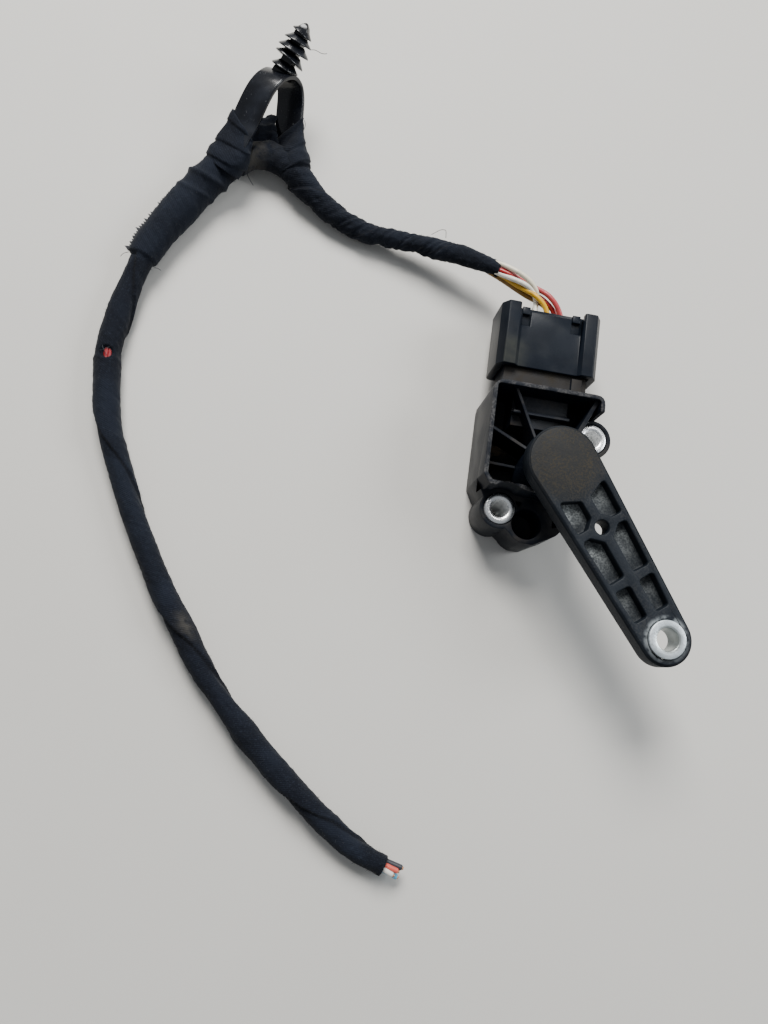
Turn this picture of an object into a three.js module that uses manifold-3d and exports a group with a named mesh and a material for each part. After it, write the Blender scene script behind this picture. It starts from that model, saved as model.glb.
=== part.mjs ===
// Lever-type angle sensor for vehicle ride height, with its plug and a cut length of taped harness.
// Millimetres, +Z along the lever's shaft and out of the open front, +Y towards the plug.
// The origin is where the shaft's axis meets the flat rear face, which lies on the mounting surface.
import * as THREE from "three";
import { mergeVertices } from "three/addons/utils/BufferGeometryUtils.js";
import Module from "manifold-3d";

const wasm = await Module();
wasm.setup();

// ---- driving dimensions ------------------------------------------------------------------------
const GAP = 0.3; // clearance between pieces that seat on each other

// Housing: outline, wall, rim height and deck thickness, and the screw bosses beside the hub.
const body = { left: -20.5, right: 13.2, top: 23.8, rim: 24, wall: 1.3, corner: 4, deck: 2 };
const bush = { bore: 5.5, outer: 9, proud: 0.3 };
const boss = { offset: 12.8, wall: 1.2, height: 15.5 };
boss.r = bush.outer / 2 + GAP + boss.wall;
const well = { x: -4.4, y: -16.2, r: 4.5, wall: 1.3, floor: 5 };

// Rear side: a cover in a recess, a seal in a groove round the chamber, and the board in the chamber.
const cover = { thickness: 1.6, ledge: 3 };
const ring = { width: 0.8, height: 0.9, edge: 0.7 };
const board = { thickness: 1, inset: 0.5, lift: 0.7, room: 2.7 };
board.bottom = cover.thickness + board.lift;
board.top = board.bottom + board.thickness;
body.deckUnder = board.top + board.room;
body.deckTop = body.deckUnder + body.deck;
const chip = { width: 5.2, length: 4.4, height: 1.1 };
const capacitor = { width: 1.6, length: 3.2, height: 1.6, x: -10.2, y: [7.6, 12.6] };

// The turning stack, from the magnet over the chip up to the lever's socket.
const lever = { length: 55.8, angle: -53.7, headR: 10.2, endR: 7.4, lift: 1.5, thickness: 6, cap: 1.2 };
lever.bottom = body.rim + lever.lift;
lever.top = lever.bottom + lever.thickness;
lever.socketTop = lever.top - lever.cap;
const magnet = { r: 3.6, thickness: 2 };
const rotor = { wall: 1.3, height: 4.7, overChip: 0.5, socket: 1.4 };
rotor.r = magnet.r + GAP + rotor.wall;
rotor.bottom = board.top + GAP + chip.height + rotor.overChip;
rotor.top = rotor.bottom + rotor.height;
const shaft = { r: 3.25, footR: 2, bottom: rotor.top + GAP, footBottom: rotor.top - rotor.socket };
const circlip = { inner: shaft.r - 0.15, outer: shaft.r + 1.25, bottom: rotor.top + 1.4, thickness: 0.7 };
const hub = { wall: 3, top: body.rim + 0.4 };
const seal = { r: shaft.r + 2.45, height: 2.9, top: hub.top - 1 };
seal.bottom = seal.top - seal.height;
hub.r = seal.r + GAP + hub.wall;
const bearing = { r: shaft.r + GAP + 1.15, bottom: circlip.bottom + circlip.thickness + GAP };
bearing.top = seal.bottom - 0.5;

// Lever: its pockets, the small hole on its centreline and the bush in its eye.
const pocket = { depth: 3, margin: 1.9, rib: 1.5, round: 0.9 };
const eye = { bore: 6.7, outer: 10, below: 0.3, above: 0.8 };
const smallHole = { at: 21.2, r: 2.05 };

// Plug: pins, shroud, core, terminals, wires and the outer slide, all about one axis.
const pin = { width: 0.64, pitchX: 4.5, pitchZ: 3.9, tip: 35, columns: 3, footY: [15, 17] };
const plug = { x: -4.2, z: 12.5, fit: 0.4 };
const neck = { width: 25.6, height: 11.8, wall: 1.4, end: 41 };
const nose = { front: 26.5, rear: 49.6, shoulder: neck.end + plug.fit };
const sleeve = { front: 30.2, length: 20.2, side: 2.3, face: 1, back: 1.4, lobe: 5.2, rise: 1.2, slide: 3.5 };
sleeve.width = neck.width + 2 * (plug.fit + sleeve.side);
sleeve.top = plug.z + neck.height / 2 + plug.fit + sleeve.face;
sleeve.bottom = plug.z - neck.height / 2 - plug.fit - sleeve.back;
const wire = { r: 0.8, apart: 0.4 };
const terminal = { width: 1.8, front: 29, rear: 39, crimpR: wire.r, crimpEnd: 42.4 };
const ear = { width: 2.4, places: [-9.3, 6.4], rise: 1.2 };

const harness = { thinR: 3.2, tapedR: 5, sleeveR: 4.7, lowerR: 3.7 };
const clip = { width: 9.6, thickness: 1.5, crown: 0.55, stemR: 1.9, stemLength: 16 };
clip.fins = [4.9, 5.3, 5.5, 5.2, 4.1];

const BUSHES = { left: [-boss.offset, -boss.offset], right: [boss.offset, boss.offset] };
const PIN_ROWS = [plug.z - pin.pitchZ / 2, plug.z + pin.pitchZ / 2];
const pinColumn = (i) => plug.x + (i - (pin.columns - 1) / 2) * pin.pitchX;

// The harness's route along the surface that the sensor lies on, from the plug's wires to the cut end.
const ROUTE = [
  [-20.5, 64.2, 12], [-32.5, 68.2, 9.6], [-46, 70.8, 6.8], [-58, 72.2, 4.4], [-68, 74.1, 3.6],
  [-76.4, 77.6, 4], [-83.6, 83.1, 5], [-90.4, 89.2, 5.4], [-94, 91.4, 5.5], [-98.1, 92.5, 5.5],
  [-102.4, 92.4, 5.5], [-106.4, 91, 5.5], [-109.9, 88.6, 5.5], [-112.6, 85.4, 5.4],
  [-116.9, 78.6, 5.2], [-121.8, 70, 5], [-127, 60, 4.9], [-131.1, 49.5, 4.8], [-133.8, 36, 4],
  [-134.9, 18, 3.9], [-130.6, -4, 3.9], [-120.4, -25.2, 3.9], [-105.4, -50, 3.9],
  [-89.4, -72.2, 3.9], [-72.2, -88.8, 3.9], [-53.9, -104, 3.9], [-42, -112.4, 3.9],
  [-31.5, -116.2, 3.9],
];
// Places along the route, as fractions of its length, where one covering ends and the next starts.
const COVERING = { thinEnd: 0.207, tapeEnd: 0.285, sleeveEnd: 0.4 };

// The clip's band, from the foot by the thick sleeve over the loop to the foot by the thin stretch.
const BAND = [
  [-109.2, 90.4, 11.7], [-106.6, 96.8, 13.6], [-104.8, 101.5, 16.4], [-103, 105.8, 18.6],
  [-100.9, 109.6, 19.4], [-98.8, 113.1, 18], [-96.8, 115.4, 15], [-95.3, 115.2, 11.6],
  [-94.5, 112, 9.2], [-94.1, 107, 8], [-93.6, 101.6, 7.2], [-93.2, 98.4, 6.8],
];
// The direction across the band at its first foot, its crown and its last foot.
const ACROSS = [[0.94, -0.12, 0.3], [0.88, -0.38, 0.28], [0.9, -0.2, 0.38]];
// The direction in which the clip's stem stands out of the crown of the loop.
const STEM = [0.375, 0.725, 0.575];

// ---- shape helpers -----------------------------------------------------------------------------
// A geometry as a manifold solid, and back.
function solid(geometry) {
  const bare = new THREE.BufferGeometry();
  const flat = geometry.index ? geometry.toNonIndexed() : geometry;
  bare.setAttribute("position", flat.getAttribute("position").clone());
  const merged = mergeVertices(bare, 1e-4);
  return new wasm.Manifold(
    new wasm.Mesh({
      numProp: 3,
      vertProperties: merged.attributes.position.array,
      triVerts: new Uint32Array(merged.index.array),
    }),
  );
}

function geometryOf(made) {
  const { vertProperties, triVerts } = made.getMesh();
  const geometry = new THREE.BufferGeometry();
  geometry.setAttribute("position", new THREE.BufferAttribute(vertProperties, 3));
  geometry.setIndex(new THREE.BufferAttribute(triVerts, 1));
  return geometry;
}

// A closed outline whose corners are rounded; a corner may give its own radius as a third value.
function outline(points, round = 0, Kind = THREE.Shape) {
  const path = new Kind();
  const count = points.length;
  const at = (i) => new THREE.Vector2(...points[(i + count) % count].slice(0, 2));
  for (let i = 0; i < count; i++) {
    const corner = at(i);
    const before = at(i - 1).sub(corner);
    const after = at(i + 1).sub(corner);
    const half = Math.abs(before.angleTo(after)) / 2;
    const wanted = points[i][2] ?? round;
    const room = 0.45 * Math.min(before.length(), after.length());
    const back = Math.min(wanted / Math.tan(half), room);
    const start = corner.clone().addScaledVector(before.normalize(), back);
    const end = corner.clone().addScaledVector(after.normalize(), back);
    if (i === 0) path.moveTo(start.x, start.y);
    else path.lineTo(start.x, start.y);
    if (back > 1e-3) path.quadraticCurveTo(corner.x, corner.y, end.x, end.y);
  }
  path.closePath();
  return path;
}

// The points of an anticlockwise outline moved inwards by a distance.
function inset(points, distance) {
  const count = points.length;
  return points.map((point, i) => {
    const here = new THREE.Vector2(point[0], point[1]);
    const before = new THREE.Vector2(...points[(i + count - 1) % count].slice(0, 2));
    const after = new THREE.Vector2(...points[(i + 1) % count].slice(0, 2));
    const a = here.clone().sub(before).normalize();
    const b = after.clone().sub(here).normalize();
    const normalA = new THREE.Vector2(-a.y, a.x);
    const normalB = new THREE.Vector2(-b.y, b.x);
    const mitre = normalA.clone().add(normalB);
    mitre.multiplyScalar(distance / (1 + normalA.dot(normalB)));
    return [here.x + mitre.x, here.y + mitre.y];
  });
}

function prism(shape, bottom, top, segments = 4) {
  const options = { depth: top - bottom, bevelEnabled: false, curveSegments: segments };
  return new THREE.ExtrudeGeometry(shape, options).translate(0, 0, bottom);
}

function box(x0, x1, y0, y1, z0, z1) {
  const made = new THREE.BoxGeometry(x1 - x0, y1 - y0, z1 - z0);
  return made.translate((x0 + x1) / 2, (y0 + y1) / 2, (z0 + z1) / 2);
}

function disc(x, y, r, bottom, top, sides = 32) {
  const made = new THREE.CylinderGeometry(r, r, top - bottom, sides);
  return made.rotateX(Math.PI / 2).translate(x, y, (bottom + top) / 2);
}

// A body of revolution about Z from a closed profile of [radius, height] points.
function turned(profile, sides = 32) {
  const points = [...profile, profile[0]].map(([r, z]) => new THREE.Vector2(r, z));
  return new THREE.LatheGeometry(points, sides).rotateX(Math.PI / 2);
}

// A round bar along Y, for what runs in the plug's direction.
function bar(x, z, r, y0, y1, sides = 12) {
  const made = new THREE.CylinderGeometry(r, r, y1 - y0, sides);
  return made.translate(x, (y0 + y1) / 2, z);
}

// A box whose section is centred on the plug's axis.
function plugBox(width, height, y0, y1) {
  const [x0, x1] = [plug.x - width / 2, plug.x + width / 2];
  return box(x0, x1, y0, y1, plug.z - height / 2, plug.z + height / 2);
}

const cut = (start, ...tools) => tools.reduce((made, tool) => made.subtract(solid(tool)), start);
const join = (start, ...tools) => tools.reduce((made, tool) => made.add(solid(tool)), start);

const finish = {
  plastic: { color: 0x17191c, roughness: 0.55, metalness: 0 },
  lever: { color: 0x24272b, roughness: 0.6, metalness: 0 },
  steel: { color: 0xb9bbbd, roughness: 0.3, metalness: 1 },
  zinc: { color: 0x9aa29b, roughness: 0.42, metalness: 1 },
  rubber: { color: 0x8a3b22, roughness: 0.7, metalness: 0 },
  board: { color: 0x1d4d33, roughness: 0.5, metalness: 0 },
  chip: { color: 0x101112, roughness: 0.45, metalness: 0 },
  ceramic: { color: 0xb39b78, roughness: 0.5, metalness: 0 },
  tin: { color: 0xc9c6bd, roughness: 0.35, metalness: 1 },
  bronze: { color: 0x9a7442, roughness: 0.4, metalness: 1 },
  magnet: { color: 0x3b3c40, roughness: 0.4, metalness: 0.6 },
  fleece: { color: 0x121519, roughness: 0.95, metalness: 0 },
  gloss: { color: 0x0c0d10, roughness: 0.3, metalness: 0 },
};

const sensor = new THREE.Group();
function part(name, shape, look, parent = sensor) {
  const geometry = shape.isBufferGeometry ? shape : geometryOf(shape);
  geometry.computeVertexNormals();
  const mesh = new THREE.Mesh(geometry, new THREE.MeshStandardMaterial(look));
  mesh.name = name;
  parent.add(mesh);
  return mesh;
}

// ---- housing -----------------------------------------------------------------------------------
// The base carries both bosses and the round well; the tall wall above it stands only round the cavity.
const wellReach = well.r + well.wall;
const lowerSide = [
  [well.x - 1.4, well.y - wellReach, 1.5], [well.x + 2.4, well.y - wellReach, 1.5],
  [4.6, -18.4, 2], [9.2, -13.4, 2],
  [body.right, -8.6, 2],
];
const baseOutline = [
  [body.left, -5.2, 2], [-18.2, -9.6, 1], [-10.4, -18.6, 1], ...lowerSide,
  [body.right, body.top, body.corner], [body.left, body.top, body.corner],
];
const rimOutline = [
  [body.left, -5.2, 1.5], [-18.4, -8, 1], [-9.5, -8, 1], [-6, -8.4, 1], [body.right - 5, -8.4, 1],
  [body.right - 5, 7.6, 1], [body.right, 17.4, 1], [body.right, body.top, body.corner],
  [body.left, body.top, body.corner],
];
const cavityOutline = inset(rimOutline, body.wall);
const coverOutline = [
  [-18.7, -5.4], [-9.4, -5.4], [-6.3, -8.5], [11.3, -8.5], [11.3, 5.3], [8.8, 6.2], [5.9, 9.3],
  [5.9, 21.9], [-18.7, 21.9],
];
const headerBlock = { front: pin.footY[0] - 2.2, rear: body.top - 0.6, wall: 1.3, side: 8.6 };
headerBlock.top = PIN_ROWS[1] + pin.width / 2 + GAP + headerBlock.wall;

function makeHousing() {
  const bossRound = ([x, y]) => disc(x, y, boss.r, 0, boss.height, 40);
  const hubAt = (r, bottom, top) => disc(0, 0, r, bottom, top, 40);
  let made = solid(prism(outline(baseOutline), 0, boss.height));
  made = join(made, prism(outline(rimOutline), boss.height - 1, body.rim));
  made = join(made, bossRound(BUSHES.left), bossRound(BUSHES.right));

  // The open front: everything between the walls down to the deck, round the bosses and the hub.
  let cavity = solid(prism(outline(cavityOutline, 1), body.deckTop, body.rim + 1));
  cavity = cut(cavity, hubAt(hub.r, 0, body.rim + 2));
  const places = Object.values(BUSHES);
  for (const place of places) cavity = cut(cavity, disc(...place, boss.r, 0, boss.height, 40));
  made = made.subtract(cavity);
  // The tall wall stops at each boss, which leaves room for the head of its screw.
  for (const place of places) made = cut(made, disc(...place, boss.r, boss.height, body.rim + 1, 40));
  made = join(made, hubAt(hub.r, body.deckUnder, hub.top));

  // Ribs that tie the walls to the hub, each a little lower than the rim.
  const ribs = [
    { from: [-13.2, body.top - 0.8], to: [-5.4, 7], thick: 0.9, below: 2.4 },
    { from: [body.right - 1.8, body.top - 1.2], to: [4.6, 7.6], thick: 1.3, below: 2 },
    { from: [plug.x - headerBlock.side, 16.4], to: [plug.x + headerBlock.side, 16.4], thick: 0.9, below: 5 },
    { from: [body.left + 0.6, 11.4], to: [-6.4, 5.2], thick: 1, below: 5.5 },
    { from: [body.left + 0.6, 1.4], to: [-7.6, 1], thick: 0.9, below: 11 },
  ];
  for (const rib of ribs) {
    const dx = rib.to[0] - rib.from[0];
    const dy = rib.to[1] - rib.from[1];
    const half = rib.thick / 2;
    const wall = box(0, Math.hypot(dx, dy), -half, half, body.deckTop - 1, body.rim - rib.below);
    wall.rotateZ(Math.atan2(dy, dx)).translate(rib.from[0], rib.from[1], 0);
    made = join(made, wall);
  }
  const block = [plug.x - headerBlock.side, plug.x + headerBlock.side, headerBlock.front];
  made = join(made, box(...block, headerBlock.rear, body.deckUnder, headerBlock.top));

  // The round well and the small pocket beside it, both open to the front.
  made = join(made, disc(well.x, well.y, wellReach, 0, boss.height, 32));
  made = cut(made, disc(well.x, well.y, well.r, well.floor, boss.height + 1, 32));
  const smallPocket = [[-8.6, -9.8], [-6.4, -9.8], [-7, -11.6]];
  made = cut(made, prism(outline(smallPocket, 0.3), body.deckTop, boss.height + 1, 2));
  made = cut(made, prism(outline([[3, -17], [8.6, -12], [11.4, -9.9], [3.6, -9.9]], 0.8), 3, 16, 2));

  // Bush bores, the shaft's bore with its seal seat, and the rotor's chamber.
  for (const place of Object.values(BUSHES))
    made = cut(made, disc(...place, bush.outer / 2 + GAP, -1, boss.height + 1, 32));
  made = cut(
    made,
    disc(0, 0, bearing.r + GAP, rotor.top, hub.top + 1),
    disc(0, 0, seal.r + GAP, seal.bottom - GAP, hub.top + 1),
    disc(0, 0, rotor.r + 1.1, -1, rotor.top + 0.5),
  );

  // Rear side: cover recess, seal groove and board chamber.
  made = cut(made, prism(outline(coverOutline, 1.2), -1, cover.thickness + GAP));
  const grooveTop = cover.thickness + 2 * GAP + ring.height;
  const groove = solid(prism(outline(inset(coverOutline, ring.edge), 1), 0, grooveTop));
  const island = prism(outline(inset(coverOutline, ring.edge + ring.width + 2 * GAP), 0.8), -1, 9);
  made = made.subtract(groove.subtract(solid(island)));
  made = cut(made, prism(outline(inset(coverOutline, cover.ledge), 0.6), -1, body.deckUnder));

  // The shroud round the pins, its key, and the slots that the pins stand in.
  made = join(made, plugBox(neck.width, neck.height, body.top - body.wall, neck.end));
  const key = { x: plug.x + 7.8, width: 3.2, bottom: plug.z + neck.height / 2 - 2.4 };
  made = join(made, box(key.x, key.x + key.width, body.top - 1, sleeve.front - 1, key.bottom, sleeve.top));
  const inside = [neck.width - 2 * neck.wall, neck.height - 2 * neck.wall];
  made = cut(made, plugBox(...inside, body.top + 0.8, neck.end + 1));
  const slot = pin.width / 2 + GAP;
  for (let i = 0; i < pin.columns; i++) {
    const x = pinColumn(i);
    const [near, far] = [pin.footY[0] - slot, pin.footY[1] + slot];
    for (const z of PIN_ROWS) made = cut(made, box(x - slot, x + slot, near, 26, z - slot, z + slot));
    made = cut(made, box(x - slot, x + slot, near, far, 4, PIN_ROWS[1] + slot));
  }
  return made;
}
part("housing", makeHousing(), finish.plastic);

// ---- what the housing carries ------------------------------------------------------------------
for (const [side, place] of Object.entries(BUSHES)) {
  const tall = boss.height + bush.proud;
  const [inner, outer] = [bush.bore / 2, bush.outer / 2];
  const profile = [
    [inner + 0.3, 0], [outer, 0], [outer, tall - 0.3], [outer - 0.3, tall], [inner + 0.6, tall],
    [inner, tall - 0.6], [inner, 0.3],
  ];
  part(`mount_bush_${side}`, turned(profile).translate(...place, 0), finish.steel);
}

part("rear_cover", prism(outline(inset(coverOutline, GAP), 1), 0, cover.thickness), finish.plastic);

function makeCoverSeal() {
  const low = cover.thickness + GAP;
  const outer = prism(outline(inset(coverOutline, ring.edge + GAP), 0.9), low, low + ring.height);
  const inside = inset(coverOutline, ring.edge + GAP + ring.width);
  const inner = prism(outline(inside, 0.8), low - 1, low + ring.height + 1);
  return solid(outer).subtract(solid(inner));
}
part("cover_seal", makeCoverSeal(), finish.rubber);

function makeBoard() {
  const edge = outline(inset(coverOutline, cover.ledge + board.inset), 0.5);
  let made = solid(prism(edge, board.bottom, board.top));
  const half = pin.width / 2 + GAP;
  for (let i = 0; i < pin.columns; i++)
    for (const y of pin.footY) {
      const x = pinColumn(i);
      made = cut(made, box(x - half, x + half, y - half, y + half, 0, board.top + 1));
    }
  return made;
}
part("circuit_board", makeBoard(), finish.board);

// A block on the board's face towards the deck.
function onBoard({ width, length, height }, x, y) {
  const low = board.top + GAP;
  return box(x - width / 2, x + width / 2, y - length / 2, y + length / 2, low, low + height);
}
part("sensor_chip", onBoard(chip, 0, 0), finish.chip);
capacitor.y.forEach((y, i) => part(`capacitor_${i + 1}`, onBoard(capacitor, capacitor.x, y), finish.ceramic));

// Six right-angled pins: up from the board behind the deck, then out into the shroud.
let pinNumber = 0;
PIN_ROWS.forEach((z, row) => {
  const half = pin.width / 2;
  const foot = pin.footY[1 - row];
  for (let i = 0; i < pin.columns; i++) {
    const profile = [
      [foot - half, board.bottom - 0.2], [foot + half, board.bottom - 0.2], [foot + half, z - half],
      [pin.tip - 0.5, z - half], [pin.tip, z - 0.12], [pin.tip, z + 0.12], [pin.tip - 0.5, z + half],
      [foot - half, z + half],
    ];
    const made = prism(outline(profile), -half, half);
    const upright = new THREE.Matrix4().makeBasis(
      new THREE.Vector3(0, 1, 0),
      new THREE.Vector3(0, 0, 1),
      new THREE.Vector3(1, 0, 0),
    );
    pinNumber += 1;
    part(`header_pin_${pinNumber}`, made.applyMatrix4(upright).translate(pinColumn(i), 0, 0), finish.tin);
  }
});

const bearingProfile = [
  [shaft.r + GAP, bearing.bottom], [bearing.r, bearing.bottom], [bearing.r, bearing.top],
  [shaft.r + GAP, bearing.top],
];
part("shaft_bearing", turned(bearingProfile), finish.bronze);
const lip = shaft.r + GAP;
const sealProfile = [
  [lip, seal.bottom + 0.4], [lip + 0.5, seal.bottom], [seal.r, seal.bottom], [seal.r, seal.top],
  [lip + 0.9, seal.top], [lip + 0.9, seal.bottom + 1.2],
];
part("shaft_seal", turned(sealProfile), finish.rubber);

// ---- lever, shaft and rotor --------------------------------------------------------------------
const arm = new THREE.Group();
arm.rotation.z = THREE.MathUtils.degToRad(lever.angle);
sensor.add(arm);

const halfWidth = (u) => lever.headR + ((lever.endR - lever.headR) * u) / lever.length;

// The lever's outline: two arcs joined by their common tangents.
function leverOutline(grow = 0) {
  const [head, end] = [lever.headR + grow, lever.endR + grow];
  const lean = Math.asin((head - end) / lever.length);
  const shape = new THREE.Shape();
  shape.absarc(0, 0, head, Math.PI / 2 - lean, -Math.PI / 2 + lean, false);
  shape.absarc(lever.length, 0, end, -Math.PI / 2 + lean, Math.PI / 2 - lean, false);
  shape.closePath();
  return shape;
}

// One column of pockets, on the side of the centre rib that sign gives.
function pocketOutlines(sign) {
  const edge = (u) => halfWidth(u) - pocket.margin;
  const rows = [
    [[9.7, edge(9.7) - 0.3], [12.4, pocket.rib], [17.6, pocket.rib], [19.9, 4.1], [20, edge(20)]],
    [[22.4, 4.6], [25.2, pocket.rib], [35.8, pocket.rib], [36, edge(36)], [22.5, edge(22.5)]],
    [[38.6, pocket.rib], [48.1, pocket.rib], [48.1, edge(48.1) - 0.3], [38.4, edge(38.4)]],
  ];
  return rows.map((points) => points.map(([u, v]) => [u, sign * v]));
}

function makeLever() {
  let made = solid(prism(leverOutline(-0.5), lever.top - 0.6, lever.top, 20));
  made = join(made, prism(leverOutline(), lever.bottom, lever.top - 0.5, 20));
  for (const sign of [1, -1])
    for (const points of pocketOutlines(sign))
      made = cut(made, prism(outline(points, pocket.round), lever.top - pocket.depth, lever.top + 1, 3));
  const { at, r } = smallHole;
  made = cut(made, disc(at, 0, r, lever.bottom - 1, lever.top + 1, 20));
  made = cut(made, disc(lever.length, 0, eye.outer / 2 + GAP, lever.bottom - 1, lever.top + 1, 32));
  return cut(made, disc(0, 0, shaft.r + GAP, lever.bottom - 1, lever.socketTop));
}
part("lever_arm", makeLever(), finish.lever, arm);

const [eyeLow, eyeHigh] = [lever.bottom - eye.below, lever.top + eye.above];
const eyeProfile = [
  [eye.bore / 2, eyeLow], [eye.outer / 2, eyeLow], [eye.outer / 2, eyeHigh - 0.4],
  [eye.outer / 2 - 0.4, eyeHigh], [eye.bore / 2 + 0.3, eyeHigh], [eye.bore / 2, eyeHigh - 0.3],
];
part("lever_eye_bush", turned(eyeProfile).translate(lever.length, 0, 0), finish.zinc, arm);

const grooveR = circlip.inner - GAP;
const grooveTop = circlip.bottom + circlip.thickness + GAP;
const shaftProfile = [
  [0, shaft.footBottom], [shaft.footR, shaft.footBottom], [shaft.footR, shaft.bottom],
  [shaft.r, shaft.bottom], [shaft.r, circlip.bottom - GAP], [grooveR, circlip.bottom - GAP],
  [grooveR, grooveTop], [shaft.r, grooveTop], [shaft.r, lever.socketTop - GAP - 0.4],
  [shaft.r - 0.4, lever.socketTop - GAP], [0, lever.socketTop - GAP],
];
part("shaft", turned(shaftProfile), finish.steel, arm);

const circlipProfile = [
  [circlip.inner, circlip.bottom], [circlip.outer, circlip.bottom],
  [circlip.outer, circlip.bottom + circlip.thickness],
  [circlip.inner, circlip.bottom + circlip.thickness],
];
part("retaining_ring", turned(circlipProfile), finish.steel, arm);

const pocketTop = rotor.bottom + magnet.thickness + GAP;
const rotorProfile = [
  [0, pocketTop], [magnet.r + GAP, pocketTop], [magnet.r + GAP, rotor.bottom],
  [rotor.r, rotor.bottom], [rotor.r, rotor.top - 0.6], [rotor.r - 0.6, rotor.top],
  [shaft.footR + GAP, rotor.top], [shaft.footR + GAP, shaft.footBottom - GAP],
  [0, shaft.footBottom - GAP],
];
part("rotor", turned(rotorProfile), finish.plastic, arm);
const magnetBottom = rotor.bottom + 0.1;
const magnetTop = pocketTop - GAP;
part("rotor_magnet", disc(0, 0, magnet.r, magnetBottom, magnetTop), finish.magnet, arm);

// ---- plug --------------------------------------------------------------------------------------
const fitWidth = neck.width - 2 * (neck.wall + plug.fit);
const fitHeight = neck.height - 2 * (neck.wall + plug.fit);
const sealSeat = { front: neck.end - 3.6, rear: neck.end - 1, depth: 1 };
const mat = { front: 44.6, rear: 47, width: pin.pitchX * (pin.columns - 1) + 9, height: pin.pitchZ + 4.5 };

function makeCore() {
  let made = solid(plugBox(fitWidth, fitHeight, nose.front, nose.rear));
  made = join(made, plugBox(neck.width, neck.height, nose.shoulder, nose.rear));
  // Two small ears stand up at the rear, one near each side.
  const coreTop = plug.z + neck.height / 2;
  for (const place of ear.places) {
    const x = plug.x + place;
    const [low, high] = [coreTop - 2, coreTop + ear.rise];
    made = join(made, box(x, x + ear.width, nose.rear - ear.width, nose.rear, low, high));
  }
  const band = solid(plugBox(60, 60, sealSeat.front, sealSeat.rear));
  const trim = 2 * sealSeat.depth;
  const kept = plugBox(fitWidth - trim, fitHeight - trim, sealSeat.front - 1, sealSeat.rear + 1);
  made = made.subtract(band.subtract(solid(kept)));
  for (let i = 0; i < pin.columns; i++)
    for (const z of PIN_ROWS) {
      const half = terminal.width / 2 + GAP;
      const x = pinColumn(i);
      made = cut(made, box(x - half, x + half, nose.front - 1, mat.front, z - half, z + half));
    }
  return cut(made, plugBox(mat.width + 2 * GAP, mat.height + 2 * GAP, mat.front - GAP, nose.rear + 1));
}
part("plug_core", makeCore(), finish.plastic);

function makeNoseSeal() {
  const [front, rear] = [sealSeat.front + GAP, sealSeat.rear - GAP];
  const grow = 0.2;
  const trim = 2 * (sealSeat.depth - GAP);
  const outer = solid(plugBox(fitWidth + grow, fitHeight + grow, front, rear));
  return cut(outer, plugBox(fitWidth - trim, fitHeight - trim, front - 1, rear + 1));
}
part("plug_seal", makeNoseSeal(), finish.rubber);

function plate(front, rear, holeR) {
  let made = solid(plugBox(mat.width, mat.height, front, rear));
  for (let i = 0; i < pin.columns; i++)
    for (const z of PIN_ROWS) made = cut(made, bar(pinColumn(i), z, holeR, front - 1, rear + 1));
  return made;
}
part("wire_seal", plate(mat.front, mat.rear, wire.r + GAP), finish.rubber);
part("wire_retainer", plate(mat.rear + GAP, nose.rear - 0.2, wire.r + GAP + 0.1), finish.plastic);

const terminalPlaces = PIN_ROWS.flatMap((z) => [0, 1, 2].map((i) => [pinColumn(i), z]));
terminalPlaces.forEach(([x, z], i) => {
  const half = terminal.width / 2;
  const hole = pin.width / 2 + GAP;
  let made = solid(box(x - half, x + half, terminal.front, terminal.rear, z - half, z + half));
  made = join(made, bar(x, z, terminal.crimpR, terminal.rear - 0.5, terminal.crimpEnd, 10));
  made = cut(made, box(x - hole, x + hole, 0, terminal.rear - 1.5, z - hole, z + hole));
  part(`terminal_${i + 1}`, made, finish.tin);
});

// The outer slide: a rectangular band with a thick chamfered lobe down each side of its front face.
function makeSleeve() {
  const [left, right] = [plug.x - sleeve.width / 2, plug.x + sleeve.width / 2];
  const rear = sleeve.front + sleeve.length;
  const { lobe, rise, top, bottom, slide } = sleeve;
  const face = [
    [left, bottom, 1.5], [right, bottom, 1.5], [right, top - 1.6, 0.6], [right - 1.8, top + rise, 0.4],
    [right - lobe, top + rise, 0.4], [right - lobe - 1.2, top, 0.4], [left + lobe + 1.2, top, 0.4],
    [left + lobe, top + rise, 0.4], [left + 1.8, top + rise, 0.4], [left, top - 1.6, 0.6],
  ];
  const upright = prism(outline(face), -rear, -sleeve.front, 2).rotateX(Math.PI / 2);
  let made = solid(upright);
  const bore = [neck.width + 2 * plug.fit, neck.height + 2 * plug.fit];
  made = cut(made, plugBox(...bore, sleeve.front - 1, rear + 1));
  // The front panel stops short of the lobes at the rear, and leaves the core's ears free.
  const panel = [left + lobe + 0.4, right - lobe - 0.4];
  made = cut(made, box(...panel, rear - 2.2, rear + 1, plug.z, top + rise + 1));
  for (const place of ear.places) {
    const [x0, x1] = [plug.x + place - GAP, plug.x + place + ear.width + GAP];
    made = cut(made, box(x0, x1, nose.rear - ear.width - slide - GAP, rear + 1, plug.z, top + GAP));
  }
  return made;
}
part("lock_sleeve", makeSleeve(), finish.plastic);

// ---- wires and harness -------------------------------------------------------------------------
const smoothThrough = (points) =>
  new THREE.CatmullRomCurve3(points.map((p) => new THREE.Vector3(...p)), false, "centripetal");

function tube(curve, r, steps, sides = 8) {
  const section = new THREE.Shape();
  for (let i = 0; i < sides; i++) {
    const angle = (2 * Math.PI * i) / sides;
    const [x, y] = [r * Math.cos(angle), r * Math.sin(angle)];
    if (i === 0) section.moveTo(x, y);
    else section.lineTo(x, y);
  }
  section.closePath();
  return new THREE.ExtrudeGeometry(section, { steps, extrudePath: curve, curveSegments: 1 });
}

const routeCurve = smoothThrough(ROUTE);
routeCurve.arcLengthDivisions = 800;
const routeLength = routeCurve.getLength();
const along = (fraction) => routeCurve.getPointAt(fraction).toArray();

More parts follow.
